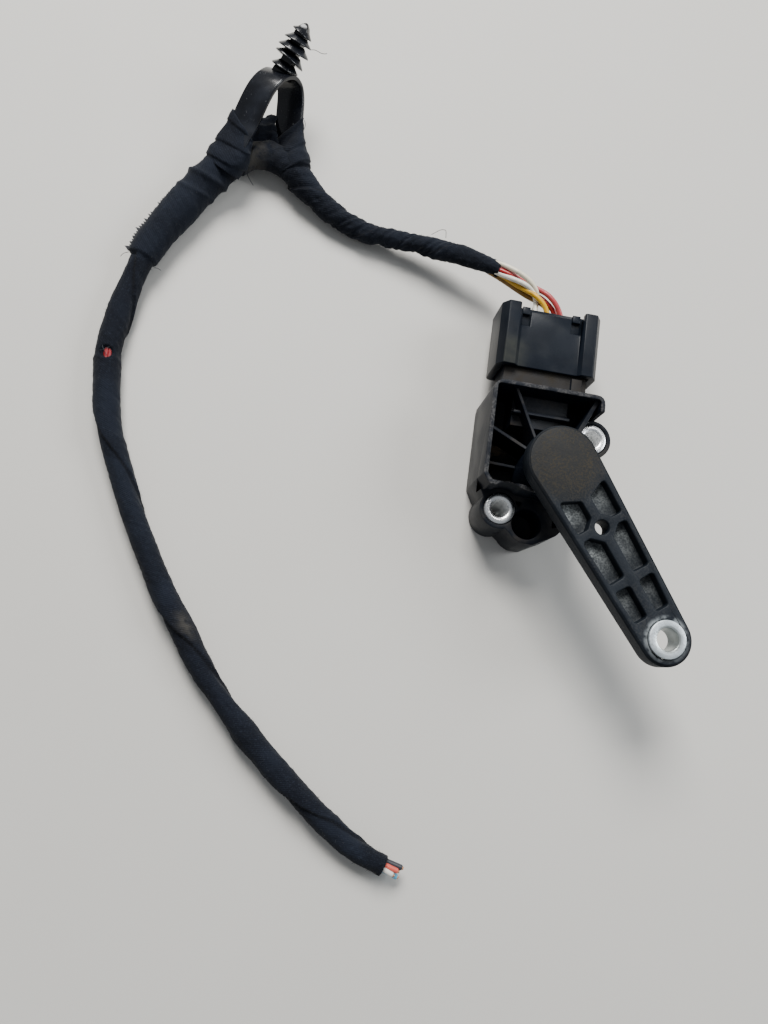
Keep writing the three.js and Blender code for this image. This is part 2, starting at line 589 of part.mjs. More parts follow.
// One covering of the harness, over the part of the route between two fractions of its length.
function covering(name, from, to, r, look) {
  const curve = new THREE.Curve();
  curve.getPoint = (t, target) => routeCurve.getPointAt(from + (to - from) * t, target);
  const steps = Math.round(((to - from) * routeLength) / (1.5 * r));
  part(name, tube(curve, r, steps, 10), look);
}
const seam = GAP / routeLength;
covering("harness_upper", 0, COVERING.thinEnd, harness.thinR, finish.fleece);
covering("clip_tape", COVERING.thinEnd + seam, COVERING.tapeEnd, harness.tapedR, finish.fleece);
covering("harness_sleeve", COVERING.tapeEnd + seam, COVERING.sleeveEnd, harness.sleeveR, finish.fleece);
covering("harness_lower", COVERING.sleeveEnd + seam, 1, harness.lowerR, finish.fleece);

// Six wires from the terminals through the seal mat, gathering to the start of the tape.
const tapeStart = new THREE.Vector3(...ROUTE[0]);
const tapeWay = new THREE.Vector3(...ROUTE[1]).sub(tapeStart).normalize();
const sideWay = new THREE.Vector3(-tapeWay.y, tapeWay.x, 0).normalize();
const upWay = new THREE.Vector3().crossVectors(tapeWay, sideWay);
const spacing = 2 * wire.r + wire.apart;
const WIRES = [
  { name: "wire_white_1", color: 0xd8d2c4 },
  { name: "wire_brown_yellow", color: 0x8d6420 },
  { name: "wire_red", color: 0x9e1f1c },
  { name: "wire_white_2", color: 0xd8d2c4 },
  { name: "wire_yellow", color: 0xd9a21c },
  { name: "wire_pink_red", color: 0xb24a45 },
];
WIRES.forEach(({ name, color }, i) => {
  const sideways = ((i % pin.columns) - 1) * spacing;
  const upwards = (i < pin.columns ? -0.5 : 0.5) * spacing;
  const [x, z] = terminalPlaces[i];
  const end = tapeStart.clone().addScaledVector(tapeWay, -GAP);
  end.addScaledVector(sideWay, -sideways).addScaledVector(upWay, upwards);
  const back = end.clone().addScaledVector(tapeWay, -4);
  const points = [
    [x, terminal.crimpEnd + GAP, z], [x, nose.rear, z], [x - 0.4, nose.rear + 2.2, z],
    back.toArray(), end.toArray(),
  ];
  part(name, tube(smoothThrough(points), wire.r, 9), { color, roughness: 0.45, metalness: 0 });
});

// Short ends of the cut conductors show beyond the tape.
const cutEnd = new THREE.Vector3(...along(1));
const cutWay = routeCurve.getTangentAt(1);
const cutSide = new THREE.Vector3(-cutWay.y, cutWay.x, 0).normalize();
const ENDS = [
  { name: "cut_wire_light_blue", color: 0x7fb2d6, place: [-0.85, -0.7], length: 5 },
  { name: "cut_wire_red", color: 0xb8352a, place: [0.25, 0.6], length: 4.4 },
  { name: "cut_wire_white", color: 0xd8d2c4, place: [-0.85, 0.5], length: 3.4 },
  { name: "cut_wire_dark", color: 0x1b1c1f, place: [0.85, -0.55], length: 4.8 },
];
for (const { name, color, place, length } of ENDS) {
  const start = cutEnd.clone().addScaledVector(cutWay, GAP).addScaledVector(cutSide, place[0] * spacing);
  start.z += place[1] * spacing;
  const points = [0, 0.5, 1].map((t) => start.clone().addScaledVector(cutWay, length * t).toArray());
  part(name, tube(smoothThrough(points), wire.r, 2), { color, roughness: 0.45, metalness: 0 });
}

// ---- routing clip ------------------------------------------------------------------------------
// A moulded band bent over into a loop, with a fir-tree stem standing out of its crown.
function makeClip() {
  const middle = smoothThrough(BAND);
  const steps = 22;
  const [first, crown, last] = ACROSS.map((p) => new THREE.Vector3(...p));
  const rows = [];
  for (let i = 0; i <= steps; i++) {
    const t = i / steps;
    const place = middle.getPointAt(t);
    const way = middle.getTangentAt(t);
    const lean = t < 0.5 ? first.clone().lerp(crown, 2 * t) : crown.clone().lerp(last, 2 * t - 1);
    const out = new THREE.Vector3().crossVectors(lean, way).normalize();
    const across = new THREE.Vector3().crossVectors(way, out).normalize();
    const corner = (w, h) => {
      const edge = place.clone().addScaledVector(across, (w * clip.width) / 2);
      return edge.addScaledVector(out, (h * clip.thickness) / 2);
    };
    rows.push([corner(-1, -1), corner(1, -1), corner(1, 1), corner(-1, 1)]);
  }
  const triangles = [];
  const face = (a, b, c) => triangles.push(...a.toArray(), ...b.toArray(), ...c.toArray());
  for (let i = 0; i < steps; i++)
    for (let j = 0; j < 4; j++) {
      const k = (j + 1) % 4;
      face(rows[i][j], rows[i + 1][k], rows[i][k]);
      face(rows[i][j], rows[i + 1][j], rows[i + 1][k]);
    }
  const [a, b] = [rows[0], rows[steps]];
  face(a[0], a[1], a[2]);
  face(a[0], a[2], a[3]);
  face(b[0], b[2], b[1]);
  face(b[0], b[3], b[2]);
  const band = new THREE.BufferGeometry();
  band.setAttribute("position", new THREE.Float32BufferAttribute(triangles, 3));
  const made = solid(band);

  // The stem: a round core with cupped fins, the smallest of them next to the tip.
  const profile = [[0, -1], [clip.stemR + 0.8, -1], [clip.stemR + 0.8, 1], [clip.stemR, 1.4]];
  const pitch = (clip.stemLength - 2.2) / clip.fins.length;
  clip.fins.forEach((reach, i) => {
    const base = 1.8 + i * pitch;
    profile.push([clip.stemR, base + 0.9], [reach, base], [reach, base + 0.35], [clip.stemR, base + 1.7]);
  });
  profile.pop();
  profile.push([0.6, clip.stemLength], [0, clip.stemLength]);
  const stem = turned(profile, 16);
  const root = middle.getPointAt(clip.crown);
  const point = new THREE.Vector3(...STEM).normalize();
  stem.applyQuaternion(new THREE.Quaternion().setFromUnitVectors(new THREE.Vector3(0, 0, 1), point));
  return join(made, stem.translate(...root.toArray()));
}
part("harness_clip", makeClip(), finish.gloss);

export default sensor;
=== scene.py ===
import math

import bmesh
import bpy
import numpy as np
from mathutils import Matrix, Vector, noise


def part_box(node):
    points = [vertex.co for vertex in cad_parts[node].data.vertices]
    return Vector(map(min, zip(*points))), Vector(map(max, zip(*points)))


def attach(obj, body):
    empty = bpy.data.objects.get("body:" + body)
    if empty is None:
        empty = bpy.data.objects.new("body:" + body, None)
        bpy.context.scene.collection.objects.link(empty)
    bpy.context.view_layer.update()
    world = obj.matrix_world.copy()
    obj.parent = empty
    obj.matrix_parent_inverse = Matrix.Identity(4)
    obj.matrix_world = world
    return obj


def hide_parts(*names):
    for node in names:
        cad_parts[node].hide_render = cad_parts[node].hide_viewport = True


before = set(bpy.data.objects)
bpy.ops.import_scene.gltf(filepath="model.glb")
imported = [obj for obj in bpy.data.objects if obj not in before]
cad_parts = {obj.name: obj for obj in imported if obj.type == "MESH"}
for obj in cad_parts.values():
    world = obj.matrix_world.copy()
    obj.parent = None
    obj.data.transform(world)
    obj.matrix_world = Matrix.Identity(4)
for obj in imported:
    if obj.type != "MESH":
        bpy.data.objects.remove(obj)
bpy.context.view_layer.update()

# ---- Camera ----
# It stands over the loop of the harness, a hand's length above the bench, tipped a little towards
# the routing clip, so that the lever points down to the right.
view_right = Vector((0.984, 0.1383, 0.1123))
view_up = Vector((-0.1575, 0.9699, 0.1855))
turned_to = Matrix((view_right, view_up, view_right.cross(view_up))).transposed()
camera_data = bpy.data.cameras.new("camera")
camera_data.lens = 28.125
camera_data.clip_start = 0.01


def stood(name, data):
    """A new object in the scene that holds this mesh, camera or light."""
    made = bpy.data.objects.new(name, data)
    bpy.context.scene.collection.objects.link(made)
    return made


camera = stood("camera", camera_data)
camera.matrix_world = Matrix.Translation((-0.06544, -0.06534, 0.240)) @ turned_to.to_4x4()
bpy.context.scene.camera = camera

# ---- Harness ----
# Thin wires bundled in black fleece tape, wound by hand: tight turns along the thin stretch, a
# bulky wrap at the clip, a thick length with a pinked edge, then one long spiral seam to the cut.
MM = 0.001
ROUTE = [
    (-20.5, 64.2, 12), (-32.5, 68.2, 9.6), (-46, 70.8, 6.8), (-58, 72.2, 4.4), (-68, 74.1, 3.6),
    (-76.4, 77.6, 4), (-83.6, 83.1, 5), (-90.4, 89.2, 5.4), (-94, 91.4, 5.5), (-98.1, 92.5, 5.5),
    (-102.4, 92.4, 5.5), (-106.4, 91, 5.5), (-109.9, 88.6, 5.5), (-112.6, 85.4, 5.4),
    (-116.9, 78.6, 5.2), (-121.8, 70, 5), (-127, 60, 4.9), (-131.1, 49.5, 4.8), (-133.8, 36, 4),
    (-134.9, 18, 3.9), (-130.6, -4, 3.9), (-120.4, -25.2, 3.9), (-105.4, -50, 3.9),
    (-89.4, -72.2, 3.9), (-72.2, -88.8, 3.9), (-53.9, -104, 3.9), (-42, -112.4, 3.9),
    (-31.5, -116.2, 3.9),
]
# How thick the taped bundle is: a radius at each distance along it, both in millimetres.
GIRTH = [
    (0, 2.3), (5, 2.7), (14, 3.1), (22, 3.2), (27, 2.8), (34, 2.8), (44, 3.1), (56, 3.5), (64, 3.6),
    (70, 4.1), (76, 4.7), (82, 4.3), (90, 4.3), (97, 5), (104, 5.5), (109, 5.4), (114, 5.2),
    (120, 5.6), (128, 5.2), (136, 4.9), (142, 4.6), (142.8, 3.6), (150, 3.4), (160, 3.9),
    (170, 4), (180, 3.6), (205, 3.6), (215, 3.4), (250, 3.35), (262, 3.8), (272, 3.5), (281, 2.9),
    (288, 3), (296, 3.7), (304, 3.4), (318, 3.3), (330, 3.35), (340, 3.1), (351, 2.9),
]
HARNESS_LENGTH, HARNESS_SIDES = 350.5, 64
THIN_END, SLEEVE_START, SLEEVE_END = 66, 97, 142.4
# A turn of tape ends in a lip that rises over the first width and is in shade over the second.
TAPE_LIP, LIP_SHADOW = 0.32, 0.55
# The bunched turns are flattened where they would be thicker than this.
FULL_RADIUS = 6.6
# Two folds: where each lies, how high it stands and how wide it is.
FOLDS = ((108.5, 0.8, 1.1), (114.5, 0.45, 0.9))
GAP_AT, GAP_ANGLE, GAP_DEPTH = 175.5, math.radians(88), 1.5
GAP_HALF_LENGTH, GAP_HALF_WIDTH = 1.75, 2
BENCH_CLEARANCE = 0.05 * MM


def smooth_line(points, step, ease):
    """Points about `step` apart on a curve that rounds the given corners over `ease` (all metres)."""
    points = np.array(points, float)
    ends = []
    for tip, inner in ((points[0], points[1]), (points[-1], points[-2])):
        ends.append(tip + (tip - inner) / np.linalg.norm(tip - inner) * 4 * ease)
    points = np.vstack([ends[0], points, ends[1]])
    reach = np.r_[0, np.cumsum(np.linalg.norm(np.diff(points, axis=0), axis=1))]
    half = math.ceil(3 * ease / step)
    count = round((reach[-1] - 8 * ease) / step)
    stations = np.linspace(4 * ease - half * step, reach[-1] - 4 * ease + half * step, count + 2 * half + 1)
    weights = np.exp(-0.5 * (np.arange(-half, half + 1) * step / ease) ** 2)
    weights /= weights.sum()
    return np.stack(
        [np.convolve(np.interp(stations, reach, points[:, k]), weights, "valid") for k in range(3)], axis=1
    )


def unit(vectors):
    """The same directions, each with a length of one."""
    return vectors / np.linalg.norm(vectors, axis=1)[:, None]


def frames_along(line, up=(0, 0, 1)):
    """At each point of a line: the direction across it and the direction out of it, nearest to up."""
    way = unit(np.gradient(line, axis=0))
    side = unit(np.cross(up, way))
    return side, np.cross(way, side)


def skin(name, rings, uv=None):
    """A closed mesh through rings of points, each ring anticlockwise seen from the far end."""
    count, sides = rings.shape[:2]
    points = np.vstack([rings.reshape(-1, 3), rings[0].mean(0), rings[-1].mean(0)])
    near = np.arange(sides)
    beside = (near + 1) % sides
    rows = np.arange(count - 1)[:, None] * sides
    walls = np.stack([rows + near, rows + beside, rows + sides + beside, rows + sides + near], axis=2)
    last = (count - 1) * sides
    faces = walls.reshape(-1, 4).tolist()
    faces += [(count * sides, int(k), int(j)) for j, k in zip(near, beside)]
    faces += [(count * sides + 1, last + int(j), last + int(k)) for j, k in zip(near, beside)]
    mesh = bpy.data.meshes.new(name)
    mesh.from_pydata(points.tolist(), [], faces)
    mesh.polygons.foreach_set("use_smooth", [True] * len(faces))
    if uv is not None:
        along, about = uv
        corners = np.stack([about[near], about[near + 1], about[near + 1], about[near]], axis=1)
        flat = np.zeros((len(mesh.loops), 2))
        lengths = np.stack([along[:-1], along[:-1], along[1:], along[1:]], axis=1)
        walls_uv = np.empty((count - 1, sides, 4, 2))
        walls_uv[..., 0] = lengths[:, None, :]
        walls_uv[..., 1] = corners[None]
        flat[: (count - 1) * sides * 4] = walls_uv.reshape(-1, 2)
        mesh.uv_layers.new(name="tape").data.foreach_set("uv", flat.ravel())
    return stood(name, mesh)


def painted(piece, name, values):
    """Stores one number for each of the piece's points, for its material to read."""
    mesh = piece.data
    layer = mesh.attributes.new(name, "FLOAT", "POINT")
    layer.data.foreach_set("value", np.pad(values.ravel(), (0, len(mesh.vertices) - values.size)))


harness_line = smooth_line(np.array(ROUTE) * MM, 0.45 * MM, 3.2 * MM)
side, top = frames_along(harness_line)
along = np.linspace(0, HARNESS_LENGTH, len(harness_line))[:, None]
about = np.linspace(0, math.tau, HARNESS_SIDES, endpoint=False)[None, :]

# The seam's angle round the bundle: quick turns, then straight along the sleeve, then slow turns.
stretches = [along < THIN_END, along < SLEEVE_START, along < SLEEVE_END]
seam = np.select(stretches, [-15 * along, -15 * along, 168], 180 - 6 * (along - 190))
lip = np.select(stretches, [0.5, 0.9, 0.5], 0.85)
radius = np.interp(along, *np.array(GIRTH, float).T) + 0 * about
lift = np.zeros_like(radius)
shade_of_seam = np.zeros_like(radius)
# The thin stretch is pulled tight and pleated; the rest only a little.
pleats = np.interp(along[:, 0], (0, 14, 24, 52, 64, 97, 350), (0.1, 0.15, 0.5, 0.5, 0.25, 0.12, 0.1))
for i, s in enumerate(along[:, 0]):
    wander = 16 * noise.noise(Vector((s / 11, 3.1, 0))) + 5 * noise.noise(Vector((s / 2.2, 9, 0)))
    phase = (np.degrees(about[0]) - seam[i, 0] - wander) % 360 / 360
    from_edge = phase * math.tau * radius[i]
    edge = np.minimum(from_edge / TAPE_LIP, 1)
    height = lip[i, 0] * (1 + 0.5 * noise.noise(Vector((s / 7, 20, 0))))
    lift[i] = height * (phase * edge + (1 - edge) ** 2 - 0.5)
    shade_of_seam[i] = np.exp(-((from_edge / LIP_SHADOW) ** 2))
    coarse = 0.5 if 60 < s < 118 else 0.2
    for j, a in enumerate(about[0]):
        ring = Vector((math.cos(a), math.sin(a), 0))
        lift[i, j] += coarse * noise.noise(Vector((ring.x, ring.y, s / 7)))
        lift[i, j] += 0.12 * noise.noise(Vector((3 * ring.x, 3 * ring.y, s / 2.6 + 1.2 * a)))
        twist = a + 0.42 * s
        pleat = noise.noise(Vector((1.5 * math.cos(twist), 1.5 * math.sin(twist), s / 9)))
        lift[i, j] += pleats[i] * (0.5 - 2.4 * abs(pleat))
# Where the thick length begins, its first turns are bunched into two slanting folds.
for place, high, wide in FOLDS:
    lift += high * np.exp(-(((along - place - 2.2 * np.cos(about - 2.2)) / wide) ** 2))
# The tape ends in a small step at the gap and the next length starts over it.
end_of_turn = 176.6 + 0.5 * np.cos(about + 0.6)
radius += 0.3 / (1 + np.exp(-(along - end_of_turn) / 0.12)) * np.exp(-((along - 177) / 16).clip(0) ** 2)
around_gap = (about - GAP_ANGLE) * radius
from_gap = np.hypot((along - GAP_AT) / GAP_HALF_LENGTH, around_gap / GAP_HALF_WIDTH)
gap = 1 / (1 + np.exp((from_gap - 1) / 0.06))
radius += lift - GAP_DEPTH * gap
radius = np.minimum(radius, FULL_RADIUS + 0.15 * (radius - FULL_RADIUS))
rings = harness_line[:, None] + MM * radius[..., None] * (
    np.cos(about)[..., None] * side[:, None] + np.sin(about)[..., None] * top[:, None]
)
rings[..., 2] = np.maximum(rings[..., 2], BENCH_CLEARANCE)
# The tape's cut ends are hollow: the last ring turns in and goes back a little.
lead, tail = (0.72 * rings[k] + 0.28 * rings[k].mean(0) for k in (3, -4))
rings = np.concatenate([lead[None], rings, tail[None]])
long_way = MM * np.r_[0.5, along[:, 0], HARNESS_LENGTH - 0.5]
harness = skin("harness", rings, uv=(long_way, MM * np.linspace(0, 24, HARNESS_SIDES + 1)))
# The seam attribute holds painted shade, strongest just under each turn's lip.
painted(harness, "seam", np.pad(shade_of_seam, ((1, 1), (0, 0))))
rubbed = np.exp(-(((along - 91) / 5) ** 2)) * (np.sin(about) > -0.2)
rubbed = rubbed + 0.8 * np.exp(-(((along - 262) / 4) ** 2 + ((about - 1.1) / 0.5) ** 2))
painted(harness, "rubbed", np.pad(rubbed, ((1, 1), (0, 0))))


class Node:
    """One output in a node tree. Arithmetic on it adds Math nodes, and node() adds any other."""

    def __init__(self, tree, output=None):
        self.tree = tree
        self.output = output

    def node(self, kind, settings=None, sockets=None, result=0):
        made = self.tree.nodes.new(kind)
        for name, value in (settings or {}).items():
            setattr(made, name, value)
        for key, value in (sockets or {}).items():
            if isinstance(value, Node):
                self.tree.links.new(value.output, made.inputs[key])
            else:
                made.inputs[key].default_value = value
        return Node(self.tree, made.outputs[result])

    def math(self, operation, *values):
        return self.node("ShaderNodeMath", {"operation": operation}, dict(enumerate(values)))

    def sine(self):
        return self.math("SINE", self)

    def __add__(self, other):
        return self.math("ADD", self, other)

    def __radd__(self, other):
        return self.math("ADD", other, self)

    def __sub__(self, other):
        return self.math("SUBTRACT", self, other)

    def __rsub__(self, other):
        return self.math("SUBTRACT", other, self)

    def __mul__(self, other):
        return self.math("MULTIPLY", self, other)

    def __rmul__(self, other):
        return self.math("MULTIPLY", other, self)

    def step(self, low, high):
        """0 below low and 1 above high, or the other way round where low is the larger."""
        spread = {"Value": self, "From Min": low, "From Max": high}
        return self.node("ShaderNodeMapRange", {"interpolation_type": "SMOOTHSTEP"}, spread)

    def mix(self, first, second):
        """The first colour where this is 0 and the second where it is 1."""
        first, second = (tone if isinstance(tone, Node) else (*tone, 1) for tone in (first, second))
        return self.node("ShaderNodeMix", {"data_type": "RGBA"}, {0: self, 6: first, 7: second}, 2)

    def grain(self, scale, detail=3.0):
        """Noise over this place, with `scale` lumps to the metre."""
        return self.node("ShaderNodeTexNoise", {}, {"Vector": self, "Scale": scale, "Detail": detail})

    def stretched(self, size, turn=(0, 0, 0), shift=(0, 0, 0)):
        sockets = {"Vector": self, "Scale": size, "Rotation": turn, "Location": shift}
        return self.node("ShaderNodeMapping", {}, sockets)

    def parts(self):
        split = self.node("ShaderNodeSeparateXYZ", {}, {"Vector": self}).output.node
        return [Node(self.tree, output) for output in split.outputs]

    def attribute(self, name):
        return self.node("ShaderNodeAttribute", {"attribute_name": name}, {}, "Fac")

    def uneven(self, low, high, seed):
        """Vectors drawn at random between two, one for each copy."""
        sockets = {0: low, 1: high, "Seed": seed}
        return self.node("FunctionNodeRandomValue", {"data_type": "FLOAT_VECTOR"}, sockets)

    def facing_up(self, low, high):
        """1 where the surface lies flat and faces up, and 0 where it is steep."""
        return self.node("ShaderNodeTexCoord", result="Normal").parts()[2].step(low, high)


def surface(name, recipe, depth=0.1 * MM, **constants):
    """A material. recipe(place) gives the sockets that vary; a height among them becomes a bump."""
    material = bpy.data.materials.new(name)
    material.use_nodes = True
    tree = material.node_tree
    tree.nodes.clear()
    place = Node(tree).node("ShaderNodeTexCoord", result="Object")
    sockets = recipe(place)
    if "Height" in sockets:
        bump = {"Height": sockets.pop("Height"), "Distance": depth}
        sockets["Normal"] = place.node("ShaderNodeBump", {}, bump)
    sockets.update({key.replace("_", " "): value for key, value in constants.items()})
    shader = place.node("ShaderNodeBsdfPrincipled", {}, sockets)
    tree.links.new(shader.output, tree.nodes.new("ShaderNodeOutputMaterial").inputs["Surface"])
    return material


def fleece(place):
    """Matt needled cloth, blue-black, with a fine twill, paler where it is rubbed, and darkened by painted
    shade under each turn's lip.
    """
    cloth = place.node("ShaderNodeUVMap", {"uv_map": "tape"})
    across, around, _ = cloth.parts()
    weave = (across + around * 0.8) * 9000
    twill = weave.sine() * 0.5 + 0.5
    fuzz = place.grain(2600, 4)
    cloudy = place.grain(70).step(0.35, 0.7)
    painted_lip_shade = place.attribute("seam")
    worn = place.attribute("rubbed") * place.grain(300).step(0.3, 0.6)
    colour = cloudy.mix((0.0028, 0.004, 0.0078), (0.0062, 0.0088, 0.0155))
    colour = fuzz.step(0.5, 0.75).mix(colour, (0.012, 0.016, 0.025))
    colour = (worn * 0.7).mix(colour, (0.06, 0.055, 0.046))
    # Painted shade: the band just past each turn's lip is darkened as if in the lip's shadow.
    colour = (painted_lip_shade * 0.8).mix(colour, (0.003, 0.003, 0.004))
    height = twill * 0.35 + fuzz * 0.9 + place.grain(900) * 0.8
    return {"Base Color": colour, "Roughness": 0.93 - worn * 0.2, "Height": height}


tape_fleece = surface(
    "tape_fleece", fleece, 0.14 * MM, Sheen_Weight=0.06, Sheen_Roughness=0.4, Specular_IOR_Level=0.2
)


def fitted(piece, finish, body, slot, *stands_for):
    """Gives a piece its finish and its body, and hides the CAD nodes it stands for; slot is not used."""
    piece.data.materials.clear()
    piece.data.materials.append(finish)
    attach(piece, body)
    if stands_for:
        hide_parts(*stands_for)
    return piece


fitted(
    harness, tape_fleece, "plug", "tape_fleece",
    "harness_upper", "clip_tape", "harness_sleeve", "harness_lower",
)


def bundled(piece, finish, slot, *stands_for):
    """Fits a separate piece that goes wherever the harness goes."""
    fitted(piece, finish, "plug", slot, *stands_for)


# ---- Wires ----
# Six stranded conductors in coloured vinyl run from the plug's rear to the tape. They leave the
# plug side by side, cross each other in a slack bow and are gathered under the first turn of tape.
WIRE_RADIUS = 0.8 * MM
PLUG_REAR = 49.4
# For each wire: its slot in the record, the colour of its vinyl and its course.
WIRES = {
    "wire_yellow": ("wire_yellow", (0.62, 0.34, 0.008), [
        (-4.2, PLUG_REAR, 14.45), (-4.8, 51.8, 15.0), (-6.8, 54.3, 15.6), (-10, 56.8, 15.0),
        (-13.2, 58.8, 13.2), (-16.8, 61.1, 11.9), (-20.3, 63.0, 11.2), (-23.6, 64.4, 11.2),
    ]),
    "wire_pink_red": ("wire_pink", (0.40, 0.045, 0.05), [
        (0.3, PLUG_REAR, 14.45), (-0.7, 51.6, 15.2), (-2.4, 54.2, 15.8), (-5.2, 57.0, 15.6),
        (-9, 59.8, 13.2), (-13, 61.4, 12.6), (-17, 63.1, 12.9), (-20.3, 64.3, 12.8), (-23.6, 65.5, 12),
    ]),
    "wire_red": ("wire_red", (0.36, 0.012, 0.012), [
        (0.3, PLUG_REAR, 10.55), (-0.9, 51.4, 12.2), (-2.9, 53.4, 13.9), (-6, 56.2, 13.4),
        (-10.2, 58.9, 12.0), (-14.3, 61.0, 13.4), (-17.5, 62.5, 13.6), (-20.4, 63.6, 12.9),
        (-23.6, 64.8, 12),
    ]),
    "wire_white_1": ("wire_white", (0.70, 0.64, 0.50), [
        (-8.7, PLUG_REAR, 10.55), (-8.2, 52.2, 11), (-7.6, 55, 12.8), (-8.6, 57.9, 14.9),
        (-11.8, 60.7, 15.9), (-15.7, 63.1, 15.2), (-19.7, 65.2, 13.7), (-23.6, 66.3, 12.5),
    ]),
    "wire_white_2": ("wire_white", (0.72, 0.69, 0.60), [
        (-8.7, PLUG_REAR, 14.45), (-8.1, 51.8, 13.4), (-8, 54.6, 13.0), (-9.2, 57.2, 14.6),
        (-12.2, 59.2, 15.2), (-16, 60.8, 14), (-20.2, 62.7, 12.3), (-23.6, 64, 11.6),
    ]),
    "wire_brown_yellow": ("wire_brown", (0.22, 0.11, 0.012), [
        (-4.2, PLUG_REAR, 10.55), (-4, 51.3, 12.4), (-4.6, 53.2, 14.2), (-7, 54.8, 13.6),
        (-10.8, 56.8, 12.2), (-15, 59.2, 11.5), (-18.3, 61.2, 11), (-20.9, 62.6, 10.6),
        (-23.6, 63.8, 10.5),
    ]),
}
STRIPED, GREY_STRIPE = "wire_white_1", (0.035, 0.045, 0.05)
TUBE_SIDES = 16


def tube(name, points, radius, sides=TUBE_SIDES, step=0.4 * MM, ease=1.3 * MM):
    """A round cord through points in millimetres, with slightly domed ends."""
    line = smooth_line(np.array(points) * MM, step, ease)
    across, out = frames_along(line)
    turn = np.linspace(0, math.tau, sides, endpoint=False)
    ring = np.cos(turn)[:, None] * across[:, None] + np.sin(turn)[:, None] * out[:, None]
    sizes = np.full(len(line), radius)
    sizes[0] = sizes[-1] = 0.8 * radius
    return skin(name, line[:, None] + sizes[:, None, None] * ring)


def vinyl(colour, stripe=None):
    """Thin-wall insulation: even colour, finger marks, and a printed stripe on some wires."""

    def recipe(place):
        dirt = place.grain(350).step(0.45, 0.75)
        tone = (dirt * 0.45).mix(colour, tuple(0.45 * share for share in colour))
        if stripe:
            tone = place.attribute("stripe").mix(tone, stripe)
        return {"Base Color": tone, "Roughness": 0.32 + dirt * 0.25, "Height": place.grain(700)}

    return recipe


for name, (slot, colour, points) in WIRES.items():
    wire = tube(name, points, WIRE_RADIUS)
    stripe = GREY_STRIPE if name == STRIPED else None
    if stripe:
        facing = np.cos(np.linspace(0, math.tau, TUBE_SIDES, endpoint=False) - 3.7)
        painted(wire, "stripe", np.tile((facing > 0.55) * 1.0, (len(wire.data.vertices) - 2) // TUBE_SIDES))
    finish = surface("vinyl_" + name[5:], vinyl(colour, stripe), 0.03 * MM, Specular_IOR_Level=0.5)
    bundled(wire, finish, slot, name)

# ---- Wires in the gap and at the cut end ----
# The tape has parted at one place and shows the red wires beneath. At the far end the loom was
# cut through: four ends stick out, with bright copper in the middle of each.
gap_index = int(GAP_AT / HARNESS_LENGTH * len(harness_line))
reach = slice(gap_index - 9, gap_index + 10)
for number, angle in ((1, math.radians(70)), (2, math.radians(98))):
    outward = math.cos(angle) * side[reach] + math.sin(angle) * top[reach]
    course = (harness_line[reach] + 2.1 * MM * outward) / MM
    inner = tube(f"gap_wire_{number}", course[::3], 0.75 * MM)
    red = surface(f"vinyl_gap_{number}", vinyl((0.26, 0.010, 0.014)), 0.03 * MM)
    bundled(inner, red, "wire_red")
end_way = harness_line[-1] - harness_line[-6]
end_way /= np.linalg.norm(end_way)
# For each cut end: its slot, its colour, how far it lies to the side and up in the bundle, how far it
# sticks out, and how far its tip has bent to the side and up.
ENDS = {
    "cut_wire_light_blue": ("wire_blue", (0.10, 0.42, 0.62), (-1.25, -0.9), 5.0, (0, 0)),
    "cut_wire_red": ("wire_red", (0.62, 0.10, 0.07), (0.2, 0.5), 4.2, (0.3, 0.2)),
    "cut_wire_white": ("wire_white", (0.62, 0.60, 0.55), (-0.75, 0.75), 3.4, (-0.3, 0)),
    "cut_wire_dark": ("wire_dark", (0.03, 0.032, 0.04), (1.2, -0.2), 4.9, (0.5, 0.6)),
}
copper = surface(
    "copper",
    lambda place: {"Base Color": place.grain(2500).mix((0.62, 0.27, 0.13), (0.8, 0.42, 0.24))},
    Metallic=1.0, Roughness=0.32,
)
for name, (slot, colour, place, length, bend) in ENDS.items():
    start = harness_line[-1] + MM * (place[0] * side[-1] + place[1] * top[-1])
    course = [(start - 1.2 * MM * end_way) / MM]
    for t in (0, 0.5, 1):
        drift = t * MM * (bend[0] * side[-1] + bend[1] * top[-1])
        course.append((start + t * length * MM * end_way + drift) / MM)
    stub = tube(name, course, WIRE_RADIUS, step=0.3 * MM)
    finish = surface("vinyl_" + name[4:], vinyl(colour), 0.03 * MM)
    bundled(stub, finish, slot, name)
    bared = [course[-1] - end_way, course[-1] + 0.45 * end_way]
    core = tube(name + "_core", bared, 0.5 * MM, sides=10, step=0.2 * MM, ease=0.3 * MM)
    bundled(core, copper, "tinned")

# ---- Routing clip ----
# A glossy nylon band moulded as a loop, its two feet taped to the harness on either side of the
# bend, and a fir-tree stem with cupped fins that once pushed into a hole in the bodywork.
BAND = [
    (-109.2, 90.4, 11.7), (-106.6, 96.8, 13.6), (-104.8, 101.5, 16.4), (-103, 105.8, 18.6),
    (-100.9, 109.6, 19.4), (-98.8, 113.1, 18), (-96.8, 115.4, 15), (-95.3, 115.2, 11.6),
    (-94.5, 112, 9.2), (-94.1, 107, 8), (-93.6, 101.6, 7.2), (-93.2, 98.4, 6.8),
]
BAND_ACROSS = np.array([(0.94, -0.12, 0.3), (0.88, -0.38, 0.28), (0.9, -0.2, 0.38)])
BAND_HALF_WIDTH, BAND_HALF_THICK = 4.8 * MM, 0.75 * MM


def band_frames(line):
    """Across the band and out of it, turning from its first foot over the crown to the last."""
    t = np.linspace(0, 1, len(line))
    lean = np.stack([np.interp(t, (0, 0.5, 1), BAND_ACROSS[:, k]) for k in range(3)], axis=1)
    way = unit(np.gradient(line, axis=0))
    out = unit(np.cross(lean, way))
    return np.cross(way, out), out


